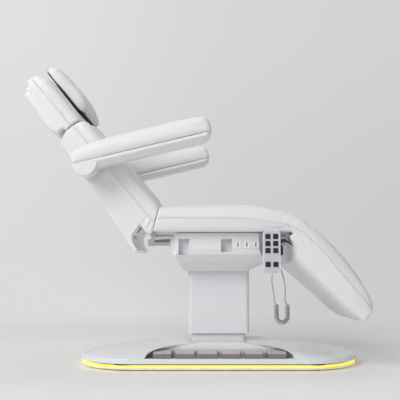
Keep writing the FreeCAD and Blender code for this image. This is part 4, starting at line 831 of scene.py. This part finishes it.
class CHAIR_OT_seat_leg(bpy.types.Operator):
    """Makes the seat and leg upholstery, one hide that runs over the knee"""
    bl_idname = "chair.seat_leg"
    bl_label = "Seat and leg upholstery"

    def execute(self, context):
        nodes = ("seat_cushion", "leg_cushion")
        hinge_x, hinge_z = LEG[0]
        turns = [math.radians(degrees) for degrees in (76, 87, 98, 109, 120, 133)]
        knee_radius = 0.098
        web = [place(LEG, 0.012, 0.0125), (hinge_x + 0.012, 0.546)]
        web += [(hinge_x + knee_radius * math.sin(t), hinge_z + knee_radius * math.cos(t)) for t in turns]
        webs = band(LEG, span=(0.010, 0.435), reach=(-0.008, 0.045), widths=(0.25, 0.2785))
        webs += [(web, -0.2805, -0.240), (web, 0.240, 0.2805)]
        obj = soft_copy("seat_leg_hide", nodes, sizes().voxel_large, webs)
        seam = [(-0.40, 0.594), (-0.232, 0.594), (0.078, 0.593), (0.164, 0.584), (0.253, 0.570),
                (0.312, 0.545), place(LEG, 0.10, 0.055), place(LEG, 0.25, 0.055),
                place(LEG, 0.40, 0.055), place(LEG, 0.60, 0.055)]

        def held(points, out):
            gap, _ = measure_from(seam, points)
            below, fold = ramp(-gap, 0.012, 0.032), ramp(-points[:, 0], 0.205, 0.225)
            return np.maximum(below, fold)

        calm(obj, (hinge_x + 0.092, hinge_z + 0.028), reach=0.034, rounds=10)
        stuff(obj, held, sizes().swell)
        finer(obj)
        feather(obj, LEG, span=(-0.02, 0.46), edge=-0.008, half=0.2738)
        # Room for the handset, which hangs close by
        feather(obj, SEAT, span=(0.16, 0.27), edge=0.5545, half=0.2797, slope=0.8)
        sew(obj, eased(seam))
        crease(obj, [(0.262, 0.578, 0.286, 0.548, 0.0030), (0.276, 0.580, 0.300, 0.552, 0.0022),
                     (0.252, 0.562, 0.268, 0.540, 0.0020), (0.300, 0.556, 0.318, 0.530, 0.0018),
                     (0.320, 0.514, 0.343, 0.463, 0.0016), (0.352, 0.512, 0.374, 0.467, 0.0013)])
        upholster(obj, None, nodes)
        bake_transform(obj)
        return {"FINISHED"}


class CHAIR_OT_back(bpy.types.Operator):
    """Makes the back cushion and the gusset web that spans to the seat"""
    bl_idname = "chair.back"
    bl_label = "Back upholstery"

    def execute(self, context):
        tail = [place(BACK, a, n) for a, n in ((0.008, 0.016), (0.008, -0.004), (0.018, -0.013),
                                               (0.056, -0.014), (0.066, -0.004), (0.072, 0.016))]
        webs = band(BACK, span=(0.055, 0.532), reach=(-0.008, 0.040), widths=(0.25, 0.2825))
        webs += [(tail, -0.2815, -0.250), (tail, 0.250, 0.2815)]
        obj = soft_copy("back_hide", ("back_cushion",), sizes().voxel_large, webs)
        seam = [place(BACK, along, 0.037) for along in (1.2, 0.45, 0.25, 0.05, -0.25)]

        def held(points, out):
            along, off = measure(BACK, points)
            return np.maximum(1 - ramp(off, 0.006, 0.026), 1 - ramp(along, 0.07, 0.10))

        stuff(obj, held, sizes().swell)
        finer(obj)
        feather(obj, BACK, span=(0.03, 0.57), edge=-0.008, half=0.2808)
        sew(obj, eased(seam))
        crease(obj, [(-0.262, 0.588, -0.282, 0.548, 0.0034), (-0.256, 0.578, -0.268, 0.546, 0.0024),
                     (-0.276, 0.604, -0.302, 0.572, 0.0020)])
        upholster(obj, "back", ("back_cushion",))
        self.gusset()
        return {"FINISHED"}

    def gusset(self):
        """Makes the web inside the joint between seat and back."""
        low, high = Vector((-0.2588, 0.0, 0.5525)), Vector((-0.2387, 0.0, 0.6285))
        out = Vector((low.z - high.z, 0.0, high.x - low.x)).normalized()
        columns, rows, strips, half, thick = 16, 6, 20, 0.266, 0.007
        mesh = bpy.data.meshes.new("fold_gusset")
        web = bmesh.new()
        bmesh.ops.create_cube(web, size=1.0)
        for axis, steps in ((0, columns), (2, rows), (1, strips)):
            edges = [e for e in web.edges if abs((e.verts[1].co - e.verts[0].co)[axis]) > 1e-6]
            bmesh.ops.subdivide_edges(web, edges=edges, cuts=steps - 1, use_grid_fill=True)
        for vert in web.verts:
            x, y, z = vert.co
            vert.co = low.lerp(high, z + 0.5) + out * (thick * x) + Vector((0.0, 2 * half * y, 0.0))
        web.to_mesh(mesh)
        web.free()
        mesh.shade_smooth()
        obj = add_object("fold_gusset", mesh, "hide")
        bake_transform(obj)


class CHAIR_OT_head(bpy.types.Operator):
    """Makes the head cushion"""
    bl_idname = "chair.head"
    bl_label = "Head upholstery"

    def execute(self, context):
        webs = band(BACK, span=(0.552, 0.768), reach=(-0.018, 0.026), widths=(0.25, 0.2785))
        obj = soft_copy("head_hide", ("head_cushion",), sizes().voxel_small, webs)
        seam = [place(BACK, along, 0.030) for along in (1.2, 0.70, 0.55, 0.45, 0.30)]

        def held(points, out):
            _, off = measure(BACK, points)
            return 1 - ramp(off, 0.0, 0.020)

        stuff(obj, held, sizes().swell * 0.6)
        finer(obj)
        feather(obj, BACK, span=(0.52, 0.80), edge=-0.018, half=0.2768)
        sew(obj, eased(seam))
        upholster(obj, "head", ("head_cushion",))
        return {"FINISHED"}


class CHAIR_OT_pillow(bpy.types.Operator):
    """Makes the soft neck pillow and dresses its mount"""
    bl_idname = "chair.pillow"
    bl_label = "Neck pillow"

    def execute(self, context):
        obj = soft_copy("pillow_hide", ("pillow",), sizes().voxel_small)

        def held(points, out):
            return ramp(-facing(BACK, out), 0.75, 0.95)

        stuff(obj, held, sizes().swell * 0.5)
        finer(obj)
        # Rear-facing points take the dark rear tone, which also paints the shade in the gap behind the
        # pillow.
        note(obj.data, "backing", ramp(-facing(BACK, normals_of(obj.data)), 0.3, 0.55))
        obj.data.materials[0] = FINISHES["pillow_hide"]
        upholster(obj, "pillow", ("pillow",))
        dress("pillow_mount", "strap", 0.0)
        return {"FINISHED"}


class CHAIR_OT_arms(bpy.types.Operator):
    """Makes the two arm pads"""
    bl_idname = "chair.arms"
    bl_label = "Arm pads"

    def execute(self, context):
        def held(points, out):
            return ramp(-facing(ARM, out), 0.3, 0.6)

        for side in ("near", "far"):
            node = "arm_pad_" + side
            obj = soft_copy("arm_hide_" + side, (node,), sizes().voxel_small)
            stuff(obj, held, sizes().swell * 0.35)
            finer(obj)
            upholster(obj, "arm_" + side, (node,))
        return {"FINISHED"}


class CHAIR_OT_pedals(bpy.types.Operator):
    """Dresses the six foot switches"""
    bl_idname = "chair.pedals"
    bl_label = "Foot switches"

    def execute(self, context):
        for number in range(1, 7):
            dress(f"pedal_{number}", "pedal", 0.0012)
        return {"FINISHED"}


class CHAIR_OT_switches(bpy.types.Operator):
    """Dresses the three rockers on the housing"""
    bl_idname = "chair.switches"
    bl_label = "Rocker switches"

    def execute(self, context):
        make_finishes()
        for number in range(1, 4):
            FINISHES[f"rocker_{number}"] = rocker_finish(f"rocker_{number}")
            dress(f"rocker_{number}", f"rocker_{number}", 0.0005)
        return {"FINISHED"}


class CHAIR_OT_handset(bpy.types.Operator):
    """Dresses the handset, its keys, its clip and its socket"""
    bl_idname = "chair.handset"
    bl_label = "Handset"

    def execute(self, context):
        dress("handset_back", "handset_rim", 0.0)
        dress("handset_front", "handset_face", 0.0006)
        for number in range(1, 9):
            dress(f"key_{number}", "key", 0.0005)
        dress("handset_holder", "holder", 0.0008)
        dress("cord_socket", "holder", 0.0005)
        return {"FINISHED"}


class CHAIR_OT_cord(bpy.types.Operator):
    """Makes the curly handset cord on its own spline"""
    bl_idname = "chair.cord"
    bl_label = "Handset cord"

    def execute(self, context):
        make_finishes()
        line = nurbs_line(self.route(), 6)
        mesh = tube("handset_cord", line, sizes().cord_radius)
        obj = add_object("handset_cord", mesh, "cord")
        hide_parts("cord_drop", "cord_curl", "cord_lead")
        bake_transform(obj)
        return {"FINISHED"}

    def route(self):
        """Gives the drop from the handset, the curls round the hanging loop, and the lead to the socket."""
        lane = -0.2928
        drop = [(0.199, lane, 0.365), (0.199, lane, 0.334), (0.2075, lane, 0.303), (0.2075, lane, 0.272)]
        lead = [(0.2495, lane, 0.272), (0.2495, lane, 0.298), (0.251, lane, 0.328),
                (0.2455, -0.2858, 0.360), (0.239, -0.2745, 0.392), (0.224, -0.2745, 0.420),
                (0.224, -0.2745, 0.437)]
        middle, bend, top, leg, lead_in, curl = 0.2365, 0.021, 0.268, 0.054, 0.007, 0.0082
        wound = 2 * leg + math.pi * bend - 2 * lead_in
        turns, knots_per_turn, points = 22, 12, []
        count = turns * knots_per_turn
        for index in range(count + 1):
            share = index / count
            walked = lead_in + wound * share
            if walked < leg:
                spot, out = Vector((middle - bend, lane, top - walked)), Vector((-1.0, 0.0, 0.0))
            elif walked < leg + math.pi * bend:
                angle = math.pi + (walked - leg) / bend
                out = Vector((math.cos(angle), 0.0, math.sin(angle)))
                spot = Vector((middle, lane, top - leg)) + out * bend
            else:
                rise = walked - leg - math.pi * bend
                spot, out = Vector((middle + bend, lane, top - leg + rise)), Vector((1.0, 0.0, 0.0))
            turn = 2 * math.pi * turns * share + math.pi / 2
            round_spot = out * math.cos(turn) + Vector((0.0, math.sin(turn), 0.0))
            points.append(tuple(spot + round_spot * curl))
        return drop + points + lead


class CHAIR_OT_stage(bpy.types.Operator):
    """Sets the pale floor, the soft studio lamps, the backdrop tone and the camera"""
    bl_idname = "chair.stage"
    bl_label = "Studio"

    def execute(self, context):
        scene = context.scene
        self.floor()
        self.backdrop(scene)
        self.lamp("key lamp", spot=(-4.0, -5.1, 4.5), aim=(-0.1, 0.0, 0.45), size=4.4, power=348.0,
                  tone=(1.0, 0.992, 0.98))
        self.lamp("top lamp", spot=(0.3, 0.6, 3.6), aim=(0.0, 0.0, 0.4), size=2.4, power=16.0,
                  tone=(0.985, 0.992, 1.0))
        lens = bpy.data.cameras.new("photograph camera")
        lens.lens, lens.sensor_width = 63.0, 36.0
        camera = new_object("photograph camera", lens)
        camera.location = (-0.077, -3.0, 0.440)
        camera.rotation_euler = (math.radians(94.737), 0.0, 0.0)
        scene.camera = camera
        scene.view_settings.view_transform = "Standard"
        return {"FINISHED"}

    def floor(self):
        """Lays a wide pale floor that fades into the studio air."""
        mesh = bpy.data.meshes.new("studio floor")
        disc = bmesh.new()
        bmesh.ops.create_circle(disc, cap_ends=True, segments=96, radius=40.0)
        disc.to_mesh(mesh)
        disc.free()
        obj = new_object("studio_floor", mesh)
        finish, tree, shader = start_finish("studio floor")
        skin = group_node(tree, "moulded skin", Colour=colours().floor, Peel=90.0, Rough=0.75)
        feed(tree, shader.inputs, {"Base Color": skin["Colour"], "Roughness": skin["Roughness"],
                                   "Specular IOR Level": 0.15})
        spot = put(tree, "ShaderNodeNewGeometry").outputs["Position"]
        flat = vectors(tree, "MULTIPLY", spot, (1.0, 1.0, 0.0))
        far = put(tree, "ShaderNodeVectorMath", {0: flat}, operation="LENGTH").outputs["Value"]
        fade = spread(tree, far, 0.95, 2.7, smooth=True)
        air = put(tree, "ShaderNodeEmission", {"Color": self.air(tree, vectors(tree, "NORMALIZE", flat))})
        mixed = put(tree, "ShaderNodeMixShader", {0: maths(tree, "MULTIPLY", fade, self.seen(tree)),
                                                  1: shader.outputs[0], 2: air.outputs[0]})
        feed(tree, tree.nodes["Material Output"].inputs, {"Surface": mixed.outputs[0]})
        mesh.materials.append(finish)

    def seen(self, tree):
        """Gives 1 for rays that reach the camera straight, by reflection or through glass."""
        path = put(tree, "ShaderNodeLightPath").outputs
        straight = maths(tree, "ADD", path["Is Camera Ray"], path["Is Glossy Ray"], clamp=True)
        return maths(tree, "ADD", straight, path["Is Transmission Ray"], clamp=True)

    def air(self, tree, heading):
        """Pale studio air, lighter to the left and overhead."""
        way = parts(tree, heading)
        left = spread(tree, way["X"], 0.10, -0.28, smooth=True)
        right = spread(tree, way["X"], 0.05, 0.30, smooth=True)
        over = spread(tree, way["Z"], 0.02, 0.36, smooth=True)
        level = maths(tree, "MULTIPLY_ADD", left, 0.085, 0.625)
        level = maths(tree, "MULTIPLY_ADD", right, -0.022, level)
        level = maths(tree, "MULTIPLY_ADD", over, 0.045, level)
        return put(tree, "ShaderNodeCombineColor", {0: level, 1: level, 2: level}).outputs[0]

    def backdrop(self, scene):
        """Lights the studio evenly, and shows its air behind the chair."""
        world = bpy.data.worlds.new("studio air")
        scene.world = world
        world.use_nodes = True
        tree = world.node_tree
        tree.nodes.clear()
        heading = put(tree, "ShaderNodeTexCoord").outputs["Generated"]
        light = put(tree, "ShaderNodeBackground", {"Color": (0.985, 0.99, 1.0, 1.0), "Strength": 0.37})
        show = put(tree, "ShaderNodeBackground", {"Color": self.air(tree, heading), "Strength": 1.0})
        mixed = put(tree, "ShaderNodeMixShader", {0: self.seen(tree), 1: light.outputs[0],
                                                  2: show.outputs[0]})
        put(tree, "ShaderNodeOutputWorld", {0: mixed.outputs[0]}, is_active_output=True)

    def lamp(self, name, spot, aim, size, power, tone):
        light = bpy.data.lights.new(name, "AREA")
        light.size, light.energy, light.color = size, power, tone
        obj = new_object(name, light)
        obj.location = spot
        obj.rotation_euler = (Vector(aim) - Vector(spot)).to_track_quat("-Z", "Y").to_euler()


class CHAIR_PT_dressing(bpy.types.Panel):
    """Lists the chair's colours, sizes and pieces"""
    bl_label = "Procedure chair"
    bl_idname = "CHAIR_PT_dressing"
    bl_space_type = "VIEW_3D"
    bl_region_type = "UI"
    bl_category = "Chair"

    def draw(self, context):
        for title, group in (("Colours", colours()), ("Sizes", sizes())):
            box = self.layout.box()
            box.label(text=title)
            for name in group.bl_rna.properties.keys():
                if name not in ("rna_type", "name"):
                    box.prop(group, name)
        for step in STEPS:
            self.layout.operator(step.bl_idname)


STEPS = (CHAIR_OT_cord, CHAIR_OT_base, CHAIR_OT_column, CHAIR_OT_frames, CHAIR_OT_shells,
         CHAIR_OT_seat_leg, CHAIR_OT_back, CHAIR_OT_head, CHAIR_OT_pillow, CHAIR_OT_arms,
         CHAIR_OT_pedals, CHAIR_OT_switches, CHAIR_OT_handset, CHAIR_OT_stage)
CLASSES = (ChairColours, ChairSizes, *STEPS, CHAIR_PT_dressing)


def register():
    for kind in CLASSES:
        bpy.utils.register_class(kind)
    bpy.types.Scene.chair_colours = PointerProperty(type=ChairColours)
    bpy.types.Scene.chair_sizes = PointerProperty(type=ChairSizes)


def unregister():
    del bpy.types.Scene.chair_sizes
    del bpy.types.Scene.chair_colours
    for kind in reversed(CLASSES):
        bpy.utils.unregister_class(kind)


def main():
    register()
    for step in STEPS:
        getattr(bpy.ops.chair, step.bl_idname.removeprefix("chair."))()


if __name__ == "__main__":
    main()
